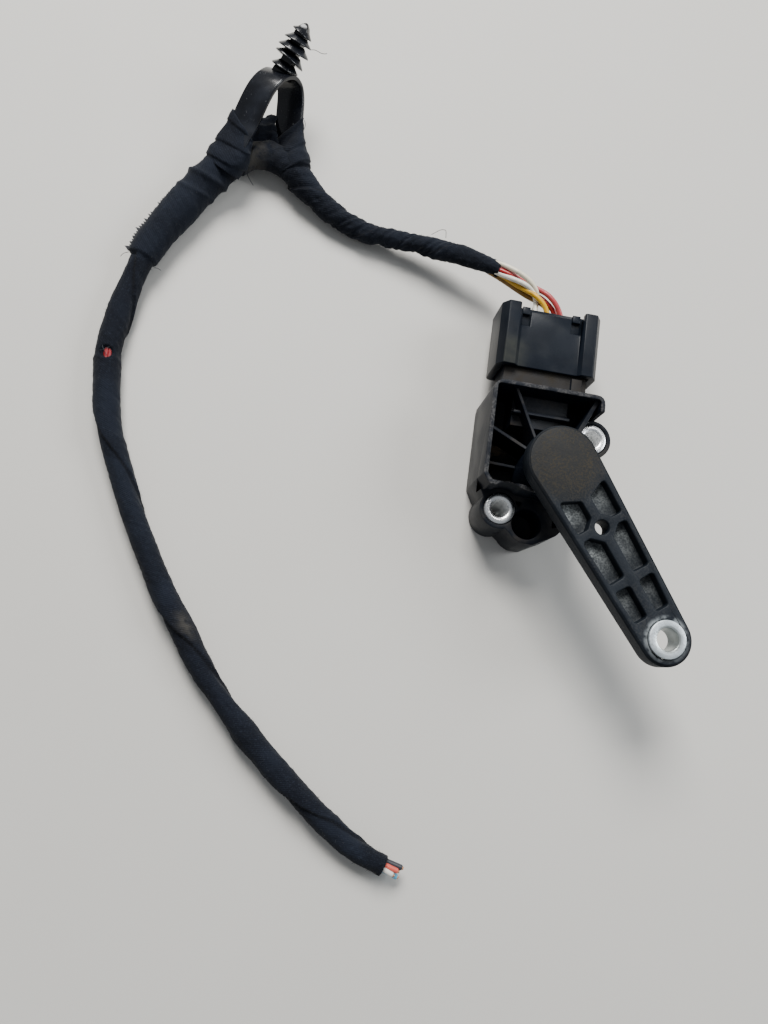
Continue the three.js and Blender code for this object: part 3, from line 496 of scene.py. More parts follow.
def soft_box(half_width, half_thick, round_off, corner_steps=5):
    """The outline of a rounded strip, anticlockwise, as pairs of across and out."""
    outline = []
    for sign_w, sign_t, start in ((1, 1, 0), (-1, 1, 90), (-1, -1, 180), (1, -1, 270)):
        for step in range(corner_steps):
            angle = math.radians(start + 90 * step / (corner_steps - 1))
            outline.append((
                sign_w * (half_width - round_off) + round_off * math.cos(angle),
                sign_t * (half_thick - round_off) + round_off * math.sin(angle),
            ))
    return np.array(outline)


band_line = smooth_line(np.array(BAND) * MM, 0.3 * MM, 1.6 * MM)
band_across, band_out = band_frames(band_line)
strip = soft_box(BAND_HALF_WIDTH, BAND_HALF_THICK, 0.5 * MM)
# Seen along the band, out comes a quarter turn before across.
across_share, out_share = strip[None, :, :1], strip[None, :, 1:]
clip_band = skin(
    "clip_band", band_line[:, None] + across_share * band_across[:, None] - out_share * band_out[:, None]
)


def glossy_nylon(place):
    """Injection-moulded nylon, jet black and shiny, with dust specks and a few fine scratches."""
    specks = place.grain(1500, 5).step(0.66, 0.74)
    scratches = place.stretched((900, 90, 400), (0, 0, 0.6)).grain(1.0).step(0.68, 0.72)
    haze = place.grain(110).step(0.4, 0.75)
    tone = haze.mix((0.0045, 0.005, 0.007), (0.010, 0.012, 0.018))
    tone = (specks * 0.5).mix(tone, (0.12, 0.125, 0.13))
    return {
        "Base Color": tone,
        "Roughness": 0.2 + haze * 0.14 + scratches * 0.2 + specks * 0.3,
        "Height": place.grain(160) - scratches * 0.15,
    }


nylon = surface("clip_nylon", glossy_nylon, 0.05 * MM, Specular_IOR_Level=0.4)
bundled(clip_band, nylon, "clip_gloss", "harness_clip")


def turned(name, profile, sides=48, centre=(0, 0)):
    """A solid turned about an upright axis: profile gives radius and height from its foot up."""
    profile = np.array(profile, float)
    turn = np.linspace(0, math.tau, sides, endpoint=False)
    ring = np.stack([np.cos(turn), np.sin(turn)], axis=1)
    rings = np.empty((len(profile), sides, 3))
    rings[..., :2] = profile[:, None, :1] * ring + np.array(centre)
    rings[..., 2] = profile[:, None, 1]
    return skin(name, rings)


def new_recipe(name, inputs):
    """A geometry node tree with the named inputs, and what each of them gives."""
    tree = bpy.data.node_groups.new(name, "GeometryNodeTree")
    tree.interface.new_socket("Geometry", in_out="INPUT", socket_type="NodeSocketGeometry")
    for label, kind in inputs.items():
        tree.interface.new_socket(label, in_out="INPUT", socket_type="NodeSocket" + kind)
    tree.interface.new_socket("Geometry", in_out="OUTPUT", socket_type="NodeSocketGeometry")
    entry = Node(tree).node("NodeGroupInput")
    return tree, {socket.name: Node(tree, socket) for socket in entry.output.node.outputs}


def planted(tree, points, shape, turn, size, finish):
    """Puts the shape on every point, makes the copies real, gives them their finish and sends them out."""
    sockets = {"Points": points, "Instance": shape, "Rotation": turn, "Scale": size}
    copies = points.node("GeometryNodeInstanceOnPoints", {}, sockets)
    real = copies.node("GeometryNodeRealizeInstances", {}, {"Geometry": copies})
    finished = real.node("GeometryNodeSetMaterial", {}, {"Geometry": real, "Material": finish})
    tree.links.new(finished.output, tree.nodes.new("NodeGroupOutput").inputs["Geometry"])


def grown(name, recipe, seed_mesh, sizes):
    """A plain piece: what the recipe makes from a mesh with these sizes."""
    host = stood(name + "_host", seed_mesh)
    modifier = host.modifiers.new(name, "NODES")
    modifier.node_group = recipe
    for item in recipe.interface.items_tree:
        if item.in_out == "INPUT" and item.name in sizes:
            modifier[item.identifier] = sizes[item.name]
    evaluated = host.evaluated_get(bpy.context.evaluated_depsgraph_get())
    mesh = bpy.data.meshes.new_from_object(evaluated)
    mesh.name = name
    host.modifiers.remove(modifier)
    bpy.data.objects.remove(host)
    return stood(name, mesh)


STEM_RADIUS, HALF_CORE = 2.3 * MM, 1.9 * MM
FINS, FIN_REACH = 5, 4.7 * MM
fin = turned("fin", [
    (0.2 * MM, 1.1 * MM), (STEM_RADIUS, 1.1 * MM), (0.72 * FIN_REACH, 0.4 * MM), (FIN_REACH, 0),
    (FIN_REACH + 0.05 * MM, 0.2 * MM), (FIN_REACH - 0.2 * MM, 0.5 * MM),
    (0.72 * FIN_REACH, 1.35 * MM), (STEM_RADIUS + 0.3 * MM, 2.15 * MM), (0.2 * MM, 2.3 * MM),
], 40)
recipe, given = new_recipe("fir_tree_fins", {
    "Fins": "Int", "Pitch": "Float", "Swell": "Float", "Tilt": "Float", "Fin": "Object", "Finish": "Material",
})
root = given["Fins"]
spacing = root.node("ShaderNodeCombineXYZ", {}, {"Z": given["Pitch"]})
column = root.node("GeometryNodeMeshLine", {}, {"Count": given["Fins"], "Offset": spacing})
index = root.node("GeometryNodeInputIndex")
# The fins swell towards the middle of the stem and the last one is the smallest.
height_share = index * (1 / FINS)
last = height_share.step(0.7, 0.8)
size = 0.93 + given["Swell"] * (height_share * 5.2).sine() - last * 0.08
lean = root.uneven((-1.0, -1.0, 0), (1.0, 1.0, 6.28), 4)
lean = root.node("ShaderNodeVectorMath", {"operation": "SCALE"}, {0: lean, "Scale": given["Tilt"]})
shape = root.node("GeometryNodeObjectInfo", {}, {"Object": given["Fin"]}, "Geometry")
planted(recipe, column, shape, lean, size, given["Finish"])
clip_fins = grown("clip_fins", recipe, bpy.data.meshes.new("empty"), {
    "Fins": FINS, "Pitch": 2.75 * MM, "Swell": 0.16, "Tilt": 0.11, "Fin": fin, "Finish": nylon,
})
bpy.data.objects.remove(fin)
# The stem's square core, from inside the band to its tip: its share of the full width, and height.
CORE = (
    (1.4, -1), (1.35, 0.9), (1.1, 1.6), (1, 4), (1, 12.6), (0.9, 13.8), (0.62, 15), (0.3, 15.8), (0.1, 16),
)
core_rows = []
for share, height in CORE:
    outline = soft_box(HALF_CORE * share, HALF_CORE * share, 0.3 * MM, 4)
    core_rows.append(np.column_stack([outline, np.full(len(outline), height * MM)]))
clip_core = skin("clip_stem", np.array(core_rows))
# The stem leans away from the sensor and stands on the band just past the middle of its length.
CROWN_AT = 0.55
stem_way = Vector((0.375, 0.725, 0.575)).normalized()
crown = band_line[int(CROWN_AT * len(band_line))]
stand = Matrix.Translation(crown) @ stem_way.to_track_quat("Z", "X").to_matrix().to_4x4()
clip_fins.data.transform(Matrix.Translation((0, 0, 1.7 * MM)))
for piece in (clip_fins, clip_core):
    piece.data.transform(stand)
    bundled(piece, nylon, "clip_gloss")

# ---- Tape at the clip ----
# The same fleece tape binds each foot of the clip to the bundle. A loose scrap of it stands up
# between the feet, and threads have pulled out of its edges.
LUMP_STEP, LUMP_SIDES = 0.35, 48


def wrapped(name, points, widths, thicks, across, crumple, slant=0, turns=0):
    """Tape bound along points in millimetres: half widths, half thicknesses, slant of its first edge."""
    line = smooth_line(np.array(points) * MM, LUMP_STEP * MM, 1.2 * MM)
    t = np.linspace(0, 1, len(line))
    width = np.interp(t, np.linspace(0, 1, len(widths)), widths)
    thick = np.interp(t, np.linspace(0, 1, len(thicks)), thicks)
    way = unit(np.gradient(line, axis=0))
    out = unit(np.cross(way, across))
    broad = np.cross(out, way)
    rings = np.empty((len(line), LUMP_SIDES, 3))
    for i in range(len(line)):
        s = t[i] * len(line) * LUMP_STEP
        for j in range(LUMP_SIDES):
            a = math.tau * j / LUMP_SIDES
            c, d = math.cos(a), math.sin(a)
            w = width[i] * math.copysign(abs(c) ** 0.75, c)
            h = thick[i] * math.copysign(abs(d) ** 0.75, d)
            fold = crumple * noise.noise(Vector((w / 3, h / 3, s / 2.6)))
            fold += 0.3 * crumple * noise.noise(Vector((w, h + 7, s)))
            turn = (turns * t[i] - j / LUMP_SIDES) % 1
            fold += (0.45 * turn + 0.45 * max(0, 1 - turn / 0.08) ** 2) * (turns > 0)
            rings[i, j] = line[i] + MM * ((w + fold * c) * broad[i] + (h + fold * d) * out[i])
            rings[i, j] += MM * slant * c * max(0, 1 - 1.8 * t[i]) * way[i]
    rings[..., 2] = np.maximum(rings[..., 2], BENCH_CLEARANCE)
    around = MM * np.linspace(0, 28, LUMP_SIDES + 1)
    return skin(name, rings, uv=(np.linspace(0, len(line) * LUMP_STEP * MM, len(line)), around))


FOOT_TAPE = {
    "foot_tape_left": {
        "points": [(-106.9, 95.9, 13.3), (-108.0, 92.6, 11.8), (-109.6, 88.7, 9.4), (-112, 84.2, 6.6)],
        "widths": [5.2, 5.5, 6.1, 6.5, 5.6], "thicks": [1.35, 1.7, 3.0, 4.4, 4.8],
        "across": (0.94, -0.12, 0.3), "crumple": 0.35, "slant": 3.2, "turns": 2.6,
    },
    "foot_tape_right": {
        "points": [(-93.4, 100.8, 7.3), (-92.9, 97.6, 6.9), (-91.6, 93.6, 6.2), (-89, 88.9, 5.5)],
        "widths": [5.1, 5.2, 5.3, 5.2, 4.6], "thicks": [1.2, 1.6, 2.9, 4.2, 4.5],
        "across": (0.9, -0.2, 0.38), "crumple": 0.35, "slant": -3.8, "turns": 2.2,
    },
    "tape_scrap": {
        "points": [(-100.6, 94.5, 7), (-101.2, 98.6, 8.4), (-100.8, 102.4, 7.4), (-99.4, 106.8, 6.2)],
        "widths": [5.2, 4.6, 3.6, 2.6, 0.8], "thicks": [0.9, 0.6, 0.5, 0.5, 0.3],
        "across": (1, 0, 0.1), "crumple": 0.9,
    },
}
for name, made in FOOT_TAPE.items():
    bundled(wrapped(name, **made), tape_fleece, "tape_fleece")

thread_black = surface(
    "thread_black",
    lambda place: {"Base Color": place.grain(900).mix((0.006, 0.007, 0.01), (0.03, 0.032, 0.04))},
    Roughness=0.8,
)
THREAD_RADIUS = 0.09 * MM
THREADS = {
    "thread_stem": [
        (-90, 120, 22), (-88.2, 120.1, 22.4), (-86.3, 119.5, 22), (-84.9, 119.7, 22), (-84.6, 120.3, 21.6),
    ],
    "thread_foot": [(-89.2, 105.6, 8.4), (-88.4, 103.4, 9.2), (-88.8, 100.9, 9)],
    "thread_bend": [(-105.6, 88.6, 2.2), (-104.4, 86.2, 1.6), (-103.1, 84.9, 0.6), (-102.4, 84.3, 0.3)],
    "thread_upper": [(-43.2, 74.0, 8.4), (-40.6, 75.2, 10.4), (-38.9, 75.3, 10.6), (-38.6, 72.9, 9.8)],
    "thread_sleeve": [(-134.9, 50.8, 5.5), (-136.2, 49.8, 6.2), (-136.8, 48.5, 6.3)],
    "thread_sleeve_in": [(-126.6, 47.4, 5), (-125.2, 47.2, 5.6), (-124.2, 46.5, 5.8)],
    "thread_gap": [(-136.6, 20.2, 6.6), (-135.4, 17.9, 8.1), (-134, 15.9, 8)],
    "thread_gap_across": [(-137.4, 17.4, 6.2), (-135.6, 17.2, 8.0), (-133.6, 18.6, 8)],
}
for name, points in THREADS.items():
    thread = tube(name, points, THREAD_RADIUS, sides=6, step=0.25 * MM, ease=0.5 * MM)
    fitted(thread, thread_black, "plug", "tape_fleece")

# ---- Pinked edge and nap ----
# The thick tape was cut with pinking shears, so small teeth stand along its free edge, and single
# fibres stand out of the fleece everywhere.
recipe, given = new_recipe("pinked_edge", {"Pitch": "Float", "Depth": "Float", "Finish": "Material"})
edge_line = given["Geometry"].node("GeometryNodeMeshToCurve", {}, {"Mesh": given["Geometry"]})
edge_line = edge_line.node(
    "GeometryNodeResampleCurve", {"mode": "LENGTH"}, {"Curve": edge_line, "Length": given["Pitch"]}
)
outward, onward = (
    edge_line.node("GeometryNodeInputNamedAttribute", {"data_type": "FLOAT_VECTOR"}, {"Name": name})
    for name in ("outward", "onward")
)
upright = edge_line.node("FunctionNodeAlignRotationToVector", {"axis": "Z"}, {"Vector": outward})
upright = edge_line.node(
    "FunctionNodeAlignRotationToVector", {"axis": "X", "pivot_axis": "Z"},
    {"Rotation": upright, "Vector": onward},
)
tooth = edge_line.node("GeometryNodeMeshCone", {}, {
    "Vertices": 4, "Radius Top": 0.03 * MM, "Radius Bottom": 0.85 * MM, "Depth": given["Depth"],
})
ragged = edge_line.uneven((0.8, 0.2, 0.6), (1.15, 0.3, 1.3), 11)
planted(recipe, edge_line, tooth, upright, ragged, given["Finish"])
EDGE_START, EDGE_END = 117, 141.5
edge_rows = np.flatnonzero((along[:, 0] > EDGE_START) & (along[:, 0] < EDGE_END))
edge_angle = math.radians(174)
edge_out = math.cos(edge_angle) * side[edge_rows] + math.sin(edge_angle) * top[edge_rows]
edge_radius = radius[edge_rows, int(edge_angle / (math.tau) * HARNESS_SIDES)][:, None] - 0.3
edge_mesh = bpy.data.meshes.new("pinked_line")
edge_points = harness_line[edge_rows] + MM * edge_radius * edge_out
edge_mesh.from_pydata(edge_points.tolist(), [(i, i + 1) for i in range(len(edge_rows) - 1)], [])
edge_onward = unit(np.gradient(edge_points, axis=0))
for name, vectors in (("outward", edge_out), ("onward", edge_onward)):
    edge_mesh.attributes.new(name, "FLOAT_VECTOR", "POINT").data.foreach_set("vector", vectors.ravel())
pinked = grown(
    "pinked_edge", recipe, edge_mesh, {"Pitch": 0.95 * MM, "Depth": 1.5 * MM, "Finish": thread_black}
)
bundled(pinked, thread_black, "tape_fleece")

recipe, given = new_recipe("fleece_nap", {"Density": "Float", "Fibre": "Float", "Finish": "Material"})
nap = given["Geometry"].node("GeometryNodeDistributePointsOnFaces", {}, {
    "Mesh": given["Geometry"], "Density": given["Density"], "Seed": 5,
})
standing = Node(recipe, nap.output.node.outputs["Rotation"])
tip_over = nap.uneven((-1.2, -1.2, 0), (1.2, 1.2, 6.28), 8)
standing = nap.node("FunctionNodeRotateRotation", {"rotation_space": "LOCAL"}, {
    "Rotation": standing, "Rotate By": tip_over,
})
fibre = nap.node("GeometryNodeMeshCone", {}, {
    "Vertices": 3, "Radius Top": 0.008 * MM, "Radius Bottom": 0.035 * MM, "Depth": given["Fibre"],
})
longer = nap.node("FunctionNodeRandomValue", {"data_type": "FLOAT"}, {2: 0.4, 3: 1.3, "Seed": 2}, 1)
planted(recipe, nap, fibre, standing, longer, given["Finish"])
nap = grown(
    "fleece_nap", recipe, harness.data, {"Density": 380000.0, "Fibre": 0.75 * MM, "Finish": thread_black}
)
# A fibre that would go into the bench is bent up along it.
fibre_points = np.empty((len(nap.data.vertices), 3))
nap.data.vertices.foreach_get("co", fibre_points.ravel())
fibre_points[:, 2] += 1.3 * np.maximum(0, 0.03 * MM - fibre_points[:, 2])
nap.data.vertices.foreach_set("co", fibre_points.ravel())
bundled(nap, thread_black, "tape_fleece")

# ---- Housing ----
# One moulding in black glass-filled nylon: an open-fronted box with thin ribs to the shaft's hub,
# a boss for each mounting bush, a round well and the shroud that the plug goes over.
FLAT_ANGLE, EDGE_ANGLE = math.radians(0.6), math.radians(28)


def softened(node, width, segments=2):
    """A copy of a CAD piece with its triangles joined into faces and its edges rounded off."""
    shape = bmesh.new()
    shape.from_mesh(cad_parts[node].data)
    bmesh.ops.remove_doubles(shape, verts=shape.verts, dist=0.002 * MM)
    bmesh.ops.dissolve_limit(shape, angle_limit=FLAT_ANGLE, verts=shape.verts, edges=shape.edges)
    sharp = [
        edge for edge in shape.edges if len(edge.link_faces) == 2 and edge.calc_face_angle() > EDGE_ANGLE
    ]
    bmesh.ops.bevel(
        shape, geom=sharp, offset=width, segments=segments, profile=0.5, affect="EDGES", clamp_overlap=False
    )
    bmesh.ops.remove_doubles(shape, verts=shape.verts, dist=0.002 * MM)
    bmesh.ops.triangulate(shape, faces=[face for face in shape.faces if len(face.verts) > 4])
    mesh = bpy.data.meshes.new(node + "_moulded")
    shape.to_mesh(mesh)
    shape.free()
    mesh.polygons.foreach_set("use_smooth", [True] * len(mesh.polygons))
    mesh.set_sharp_from_angle(angle=math.radians(42))
    return stood(node + "_moulded", mesh)


RIM_HEIGHT = 24 * MM
DUST = (0.115, 0.098, 0.075)


def black_nylon(place):
    """Glass-filled nylon: blue-black, fine moulded grain, greasy by the hub, scuffed on its rim."""
    x, y, z = place.parts()
    facing = place.facing_up(0.55, 0.95)
    cloud = place.grain(95).step(0.35, 0.7)
    fine = place.grain(1900, 4)
    tone = cloud.mix((0.0028, 0.0042, 0.0078), (0.0062, 0.0085, 0.0135))
    rim = z.step(RIM_HEIGHT - 0.5 * MM, RIM_HEIGHT - 0.1 * MM) * place.grain(420, 5).step(0.36, 0.62)
    chipped = rim * place.grain(1500, 4).step(0.4, 0.6)
    settled = facing * place.grain(210, 5).step(0.44, 0.68) * z.step(23.5 * MM, 22 * MM)
    neck = facing * y.step(23.2 * MM, 24.5 * MM) * (0.5 + 0.5 * place.grain(330, 5).step(0.25, 0.8))
    corner_x, corner_y = x + 14.5 * MM, y - 9.5 * MM
    corner = (corner_x * corner_x + corner_y * corner_y).step(36 * MM * MM, 4 * MM * MM)
    corner = corner * facing * z.step(19 * MM, 12 * MM)
    hub_wall = (x * x + y * y).step(110 * MM * MM, 90 * MM * MM) * (1 - facing)
    tone = (settled * 0.16).mix(tone, DUST)
    tone = (neck * 0.75).mix(tone, (0.024, 0.019, 0.013))
    tone = (corner * place.grain(700, 4).step(0.3, 0.6) * 0.8).mix(tone, (0.15, 0.105, 0.06))
    tone = (rim * 0.22).mix(tone, (0.07, 0.068, 0.066))
    tone = (chipped * 0.22).mix(tone, (0.20, 0.19, 0.18))
    dull = settled * 0.16 + neck * 0.24 + rim * 0.12 + cloud * 0.08
    return {
        "Base Color": tone,
        "Roughness": 0.42 + dull - hub_wall * 0.24,
        "Height": fine * 0.5 + place.grain(260) * 0.9 - chipped * 0.8,
    }


housing_black = surface("housing_black", black_nylon, 0.07 * MM, Specular_IOR_Level=0.16)
fitted(softened("housing", 0.17 * MM), housing_black, "sensor_body", "housing_plastic", "housing")

# ---- Mounting bushes ----
# Two bright steel sleeves pressed into the bosses, rolled from strip and faced at both ends, which
# take the load of the mounting screws.
BUSH_OUTER, BUSH_BORE = 4.5 * MM, 2.55 * MM
SLEEVE_SIDES = 72


def bored(node, low, high, profile):
    """A turned sleeve in place of a CAD piece, open from end to end: its profile ends where it starts."""
    centre = ((low[0] + high[0]) / 2, (low[1] + high[1]) / 2)
    sleeve = turned(node + "_turned", profile, SLEEVE_SIDES, centre)
    shape = bmesh.new()
    shape.from_mesh(sleeve.data)
    # The two end faces go, and the first and last rings become one.
    ends = [point for point in shape.verts if len(point.link_faces) == SLEEVE_SIDES]
    bmesh.ops.delete(shape, geom=ends, context="VERTS")
    bmesh.ops.remove_doubles(shape, verts=shape.verts, dist=0.001 * MM)
    shape.to_mesh(sleeve.data)
    shape.free()
    sleeve.data.set_sharp_from_angle(angle=math.radians(35))
    return sleeve


def bright_steel(place):
    """Zinc-plated steel: bright, with turning rings, a greasy smear and small dark pits."""
    smear = place.grain(260, 4).step(0.42, 0.7)
    pits = place.grain(2400, 4).step(0.68, 0.74)
    tone = smear.mix((0.96, 0.96, 0.95), (0.82, 0.83, 0.83))
    tone = (pits * 0.7).mix(tone, (0.08, 0.075, 0.07))
    lines = place.stretched((1, 1, 12)).grain(900)
    end_face = place.facing_up(0.3, 0.7)
    rough = 0.52 - end_face * 0.28 + smear * 0.12 + pits * 0.2
    bounce = 0.5 + end_face * 0.5
    return {"Base Color": tone, "Roughness": rough, "Metallic": bounce, "Height": lines * 0.3 + smear * 0.2}


steel = surface("bright_steel", bright_steel, 0.02 * MM)
ease = 0.35 * MM
for node in ("mount_bush_left", "mount_bush_right"):
    low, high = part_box(node)
    foot, head = low[2], high[2]
    bush = bored(node, low, high, [
        (BUSH_BORE, foot + ease), (BUSH_BORE + ease, foot), (BUSH_OUTER - ease, foot),
        (BUSH_OUTER, foot + ease), (BUSH_OUTER, head - ease),
        (BUSH_OUTER - 0.12 * MM, head - 0.12 * MM), (BUSH_OUTER - ease, head),
        (BUSH_BORE + 0.55 * MM, head), (BUSH_BORE + 0.2 * MM, head - 0.15 * MM),
        (BUSH_BORE, head - 0.6 * MM), (BUSH_BORE, foot + ease),
    ])
    fitted(bush, steel, "sensor_body", "bush_steel", node)

# ---- Electronics, bearing and shaft ----
# Behind the cover a small board carries the sensor chip under the shaft's magnet. The shaft turns
# in a bronze sleeve with a rubber lip seal over it, and a circlip keeps it from pulling out.
def plain(first, second, rough, scale):
    """An even finish that varies a little between two tones."""

    def recipe(place):
        drift = place.grain(scale, 4)
        return {"Base Color": drift.mix(first, second), "Roughness": rough + drift * 0.15, "Height": drift}

    return recipe


def solder_mask(place):
    """Green resist over copper tracks."""
    x, y, _ = place.parts()
    ruled = (x * 1900).sine().step(0.82, 0.9) + (y * 1500).sine().step(0.9, 0.95)
    return {
        "Base Color": (ruled * 0.8).mix((0.012, 0.10, 0.035), (0.03, 0.19, 0.07)),
        "Roughness": 0.32 + place.grain(300) * 0.1,
        "Height": ruled,
    }


# For each finish: its two tones, how rough, how fine and how metallic it is, and the pieces it is on.
INNER_FINISHES = {
    "cover_black": ((0.010, 0.010, 0.013), (0.022, 0.023, 0.028), 0.45, 500, 0, ["rear_cover"]),
    "seal_rubber": (
        (0.010, 0.010, 0.010), (0.020, 0.020, 0.021), 0.6, 500, 0, ["cover_seal", "shaft_seal", "plug_seal"],
    ),
    "wire_seal_rubber": ((0.20, 0.05, 0.03), (0.26, 0.07, 0.04), 0.55, 500, 0, ["wire_seal"]),
    "chip_resin": ((0.012, 0.012, 0.013), (0.02, 0.02, 0.022), 0.5, 500, 0, ["sensor_chip"]),
    "ceramic": ((0.26, 0.17, 0.10), (0.33, 0.22, 0.13), 0.45, 500, 0, ["capacitor_1", "capacitor_2"]),
    "tinned_brass": (
        (0.62, 0.60, 0.55), (0.72, 0.70, 0.66), 0.25, 500, 1,
        [f"{kind}_{i}" for kind in ("header_pin", "terminal") for i in range(1, 7)],
    ),
    "sintered_bronze": ((0.45, 0.27, 0.12), (0.58, 0.37, 0.18), 0.35, 1800, 1, ["shaft_bearing"]),
    "ground_steel": ((0.48, 0.49, 0.5), (0.62, 0.63, 0.64), 0.18, 500, 1, ["shaft", "retaining_ring"]),
    "rotor_resin": ((0.03, 0.03, 0.033), (0.05, 0.05, 0.053), 0.42, 500, 0, ["rotor"]),
    "sintered_magnet": ((0.16, 0.155, 0.15), (0.24, 0.235, 0.23), 0.4, 500, 0.8, ["rotor_magnet"]),
    "retainer_white": ((0.55, 0.54, 0.50), (0.62, 0.61, 0.57), 0.4, 500, 0, ["wire_retainer"]),
}


def dressed(finish, nodes):
    """Gives CAD pieces that keep their own shape a finish."""
    for node in nodes:
        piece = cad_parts[node]
        if not piece.material_slots:
            piece.data.materials.append(finish)
        for slot in piece.material_slots:
            slot.material = finish


for name, (first, second, rough, scale, metal, nodes) in INNER_FINISHES.items():
    dressed(surface(name, plain(first, second, rough, scale), 0.03 * MM, Metallic=metal), nodes)
dressed(surface("solder_mask", solder_mask, 0.03 * MM), ["circuit_board"])

# ---- Lever ----
# A thick arm in charcoal glass-filled plastic, pressed on the shaft's end. Six coring pockets
# lighten it, and road dust has packed into their floors and into the grain of the head.
LEVER_TURN = math.radians(53.7)
LEVER_TOP, EYE_AT = 31.5 * MM, 55.8 * MM


def charcoal_nylon(place):
    """Grey-black, dusty in the pockets and on the head, rubbed pale round the eye, with a painted highlight
    on that ring.
    """
    u, v, z = place.stretched((1, 1, 1), (0, 0, LEVER_TURN)).parts()
    facing = place.facing_up(0.6, 0.95)
    grit = place.grain(2300, 5)
    cloud = place.grain(120, 4).step(0.3, 0.75)
    tone = cloud.mix((0.0058, 0.0084, 0.0125), (0.0112, 0.0145, 0.0195))
    floor = facing * z.step(LEVER_TOP - 0.9 * MM, LEVER_TOP - 2 * MM)
    near_head = 0
    for start, end, share in ((9.7, 20.2, 1.0), (22.2, 36.2, 0.85), (38.2, 48.3, 0.4)):
        here = u.step((end - 1) * MM, (start + 2) * MM) * u.step((start - 0.8) * MM, start * MM)
        near_head = near_head + here * share
    # The dust in the pockets is made thicker towards one long side of the lever, where v is below zero.
    packed = floor * (0.1 + near_head * (0.55 + 0.45 * v.step(4 * MM, -5 * MM)))
    packed = packed * place.grain(330, 4).step(0.2, 0.5)
    head = (u * u + v * v).step(190 * MM * MM, 40 * MM * MM) * facing
    speck = grit.step(0.45, 0.62) * place.grain(170, 4).step(0.3, 0.6)
    far = u - EYE_AT
    from_eye = far.math("SQRT", far * far + v * v)
    # Round the eye a pale ring is partly rubbed wear and partly a painted highlight on the rim line, stronger
    # on the hub side.
    ring = from_eye.step(4.6 * MM, 5.2 * MM) * from_eye.step(7.0 * MM, 5.4 * MM) * facing
    ring = ring * place.grain(420, 5).step(0.34, 0.56) * (0.35 + 0.65 * far.step(2 * MM, -3 * MM))
    tone = (head * (0.3 + speck * 0.6)).mix(tone, (0.036, 0.030, 0.020))
    tone = (facing * (1 - head) * speck * 0.12).mix(tone, (0.10, 0.095, 0.085))
    tone = (packed * (0.35 + 0.65 * grit.step(0.36, 0.62))).mix(tone, (0.21, 0.225, 0.225))
    # Wear and painted highlight: the ring round the eye is mixed to pale grey.
    tone = (ring * 0.85).mix(tone, (0.26, 0.28, 0.29))
    return {
        "Base Color": tone,
        "Roughness": 0.52 + packed * 0.35 + head * speck * 0.2,
        "Height": grit * 0.8 + place.grain(300) * 0.8 + packed * grit * 2.0,
    }


lever_grey = surface("lever_charcoal", charcoal_nylon, 0.09 * MM, Specular_IOR_Level=0.15)
fitted(softened("lever_arm", 0.4 * MM, segments=3), lever_grey, "lever", "lever_plastic", "lever_arm")


def zinc(place):
    """Die-cast zinc, matt and faintly green, darker and less rough in and round its bore."""
    u, v, _ = place.stretched((1, 1, 1), (0, 0, LEVER_TURN)).parts()
    mottled = place.grain(1400, 5)
    bloom = place.grain(230, 4).step(0.35, 0.7)
    far = u - EYE_AT
    bore = (far * far + v * v).step(3.9 ** 2 * MM * MM, 3.5 ** 2 * MM * MM)
    tone = bloom.mix((0.42, 0.46, 0.48), (0.62, 0.67, 0.70))
    tone = (mottled.step(0.5, 0.68) * 0.5).mix(tone, (0.30, 0.32, 0.31))
    tone = (bore * 0.55).mix(tone, (0.30, 0.32, 0.29))
    return {"Base Color": tone, "Roughness": 0.46 - bore * 0.16, "Height": mottled}


zinc_cast = surface("zinc_bush", zinc, 0.04 * MM, Metallic=0.75)
low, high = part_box("lever_eye_bush")
foot, head = low[2], high[2]
EYE_BORE, EYE_OUTER, EYE_LIP, ease = 3.1 * MM, 4.95 * MM, 5.3 * MM, 0.25 * MM
eye_bush = bored("lever_eye_bush", low, high, [
    (EYE_BORE, foot + ease), (EYE_BORE + ease, foot), (EYE_OUTER - ease, foot), (EYE_OUTER, foot + ease),
    (EYE_OUTER, LEVER_TOP - 0.1 * MM), (EYE_LIP, LEVER_TOP + 0.02 * MM), (EYE_LIP, head - ease),
    (EYE_LIP - 0.08 * MM, head - 0.08 * MM), (EYE_LIP - ease, head), (EYE_BORE + 0.3 * MM, head),
    (EYE_BORE + 0.08 * MM, head - 0.1 * MM), (EYE_BORE, head - 0.3 * MM), (EYE_BORE, foot + ease),
])
fitted(eye_bush, zinc_cast, "lever", "zinc_bush", "lever_eye_bush")

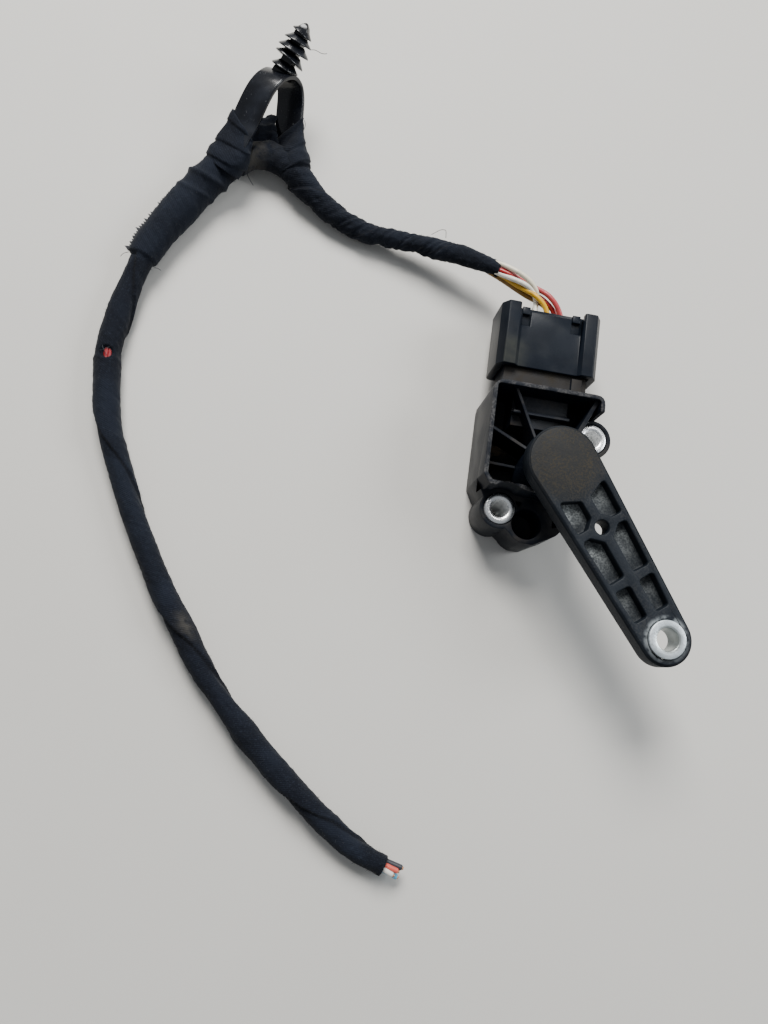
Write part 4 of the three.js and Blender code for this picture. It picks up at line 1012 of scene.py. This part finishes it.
# ---- Plug ----
# A black core holds the terminals and seals, and a slide with two thick chamfered sides goes round
# it. Pushed home, the slide locks the plug on the housing's shroud.
def plug_black(place):
    """Smoother nylon than the housing's: fine satin, light handling scratches, dust on one side."""
    x, y, _ = place.parts()
    facing = place.facing_up(0.5, 0.95)
    cloud = place.grain(80, 4).step(0.35, 0.7)
    scratch = place.stretched((700, 60, 300), (0, 0, 0.5)).grain(1.0).step(0.66, 0.71)
    tone = cloud.mix((0.0028, 0.0048, 0.0090), (0.0055, 0.0085, 0.0140))
    patch = x.step(-9 * MM, -15 * MM) * y.step(41 * MM, 36 * MM) * facing
    patch = patch * (0.55 + 0.45 * place.grain(420, 5).step(0.3, 0.75))
    film = facing * place.grain(150, 5).step(0.45, 0.7)
    tone = (patch * 0.75).mix(tone, (0.034, 0.036, 0.030))
    tone = (film * 0.04).mix(tone, (0.11, 0.11, 0.105))
    return {
        "Base Color": tone,
        "Roughness": 0.36 + patch * 0.3 + film * 0.05 + scratch * 0.06,
        "Height": place.grain(1600, 4) * 0.4 + place.grain(140) - scratch * 0.2,
    }


plug_satin = surface("plug_satin", plug_black, 0.05 * MM, Specular_IOR_Level=0.15)
slide = softened("lock_sleeve", 0.28 * MM, segments=3)
fitted(slide, plug_satin, "lock_slide", "plug_plastic", "lock_sleeve")
fitted(softened("plug_core", 0.16 * MM), plug_satin, "plug", "plug_plastic", "plug_core")

# ---- Bench and light ----
# A plain pale bench just under the parts, with a soft window beyond the routing clip, a doorway to
# the right, a small lamp over it and the even light of the room.
REACH, BENCH_TOP = 1.5, -0.08 * MM
corners = [(x, y, BENCH_TOP) for x, y in ((-REACH, -REACH), (REACH, -REACH), (REACH, REACH), (-REACH, REACH))]
bench_mesh = bpy.data.meshes.new("bench")
bench_mesh.from_pydata(corners, [], [(0, 1, 2, 3)])


def pale_board(place):
    """Matt pale board with faint large clouds."""
    tone = place.grain(9, 2).mix((0.56, 0.54, 0.50), (0.60, 0.585, 0.55))
    return {"Base Color": tone, "Roughness": 0.6 + 0.05 * place.grain(40)}


bench_mesh.materials.append(surface("bench_pale", pale_board))
stood("bench", bench_mesh)
LIGHTS = {
    "window": {"at": (-0.30, 0.95, 1.0), "size": 0.6, "energy": 34.0, "color": (1, 0.99, 0.97)},
    "doorway": {"at": (0.95, 0.25, 0.75), "size": 0.5, "energy": 9.0, "color": (0.92, 0.96, 1)},
    "lamp": {"at": (0.34, 0.53, 1.14), "size": 0.16, "energy": 1.0, "color": (1, 1, 1)},
}
LIT_POINT = Vector((-0.04, 0, 0))
for name, made in LIGHTS.items():
    light = stood(name, bpy.data.lights.new(name, "AREA"))
    light.location = made.pop("at")
    light.rotation_euler = (LIT_POINT - light.location).to_track_quat("-Z", "Y").to_euler()
    for setting, value in made.items():
        setattr(light.data, setting, value)
world = bpy.data.worlds.new("room")
world.use_nodes = True
room_light = world.node_tree.nodes["Background"].inputs
room_light["Color"].default_value = (0.88, 0.93, 1.0, 1)
room_light["Strength"].default_value = 0.32
bpy.context.scene.world = world
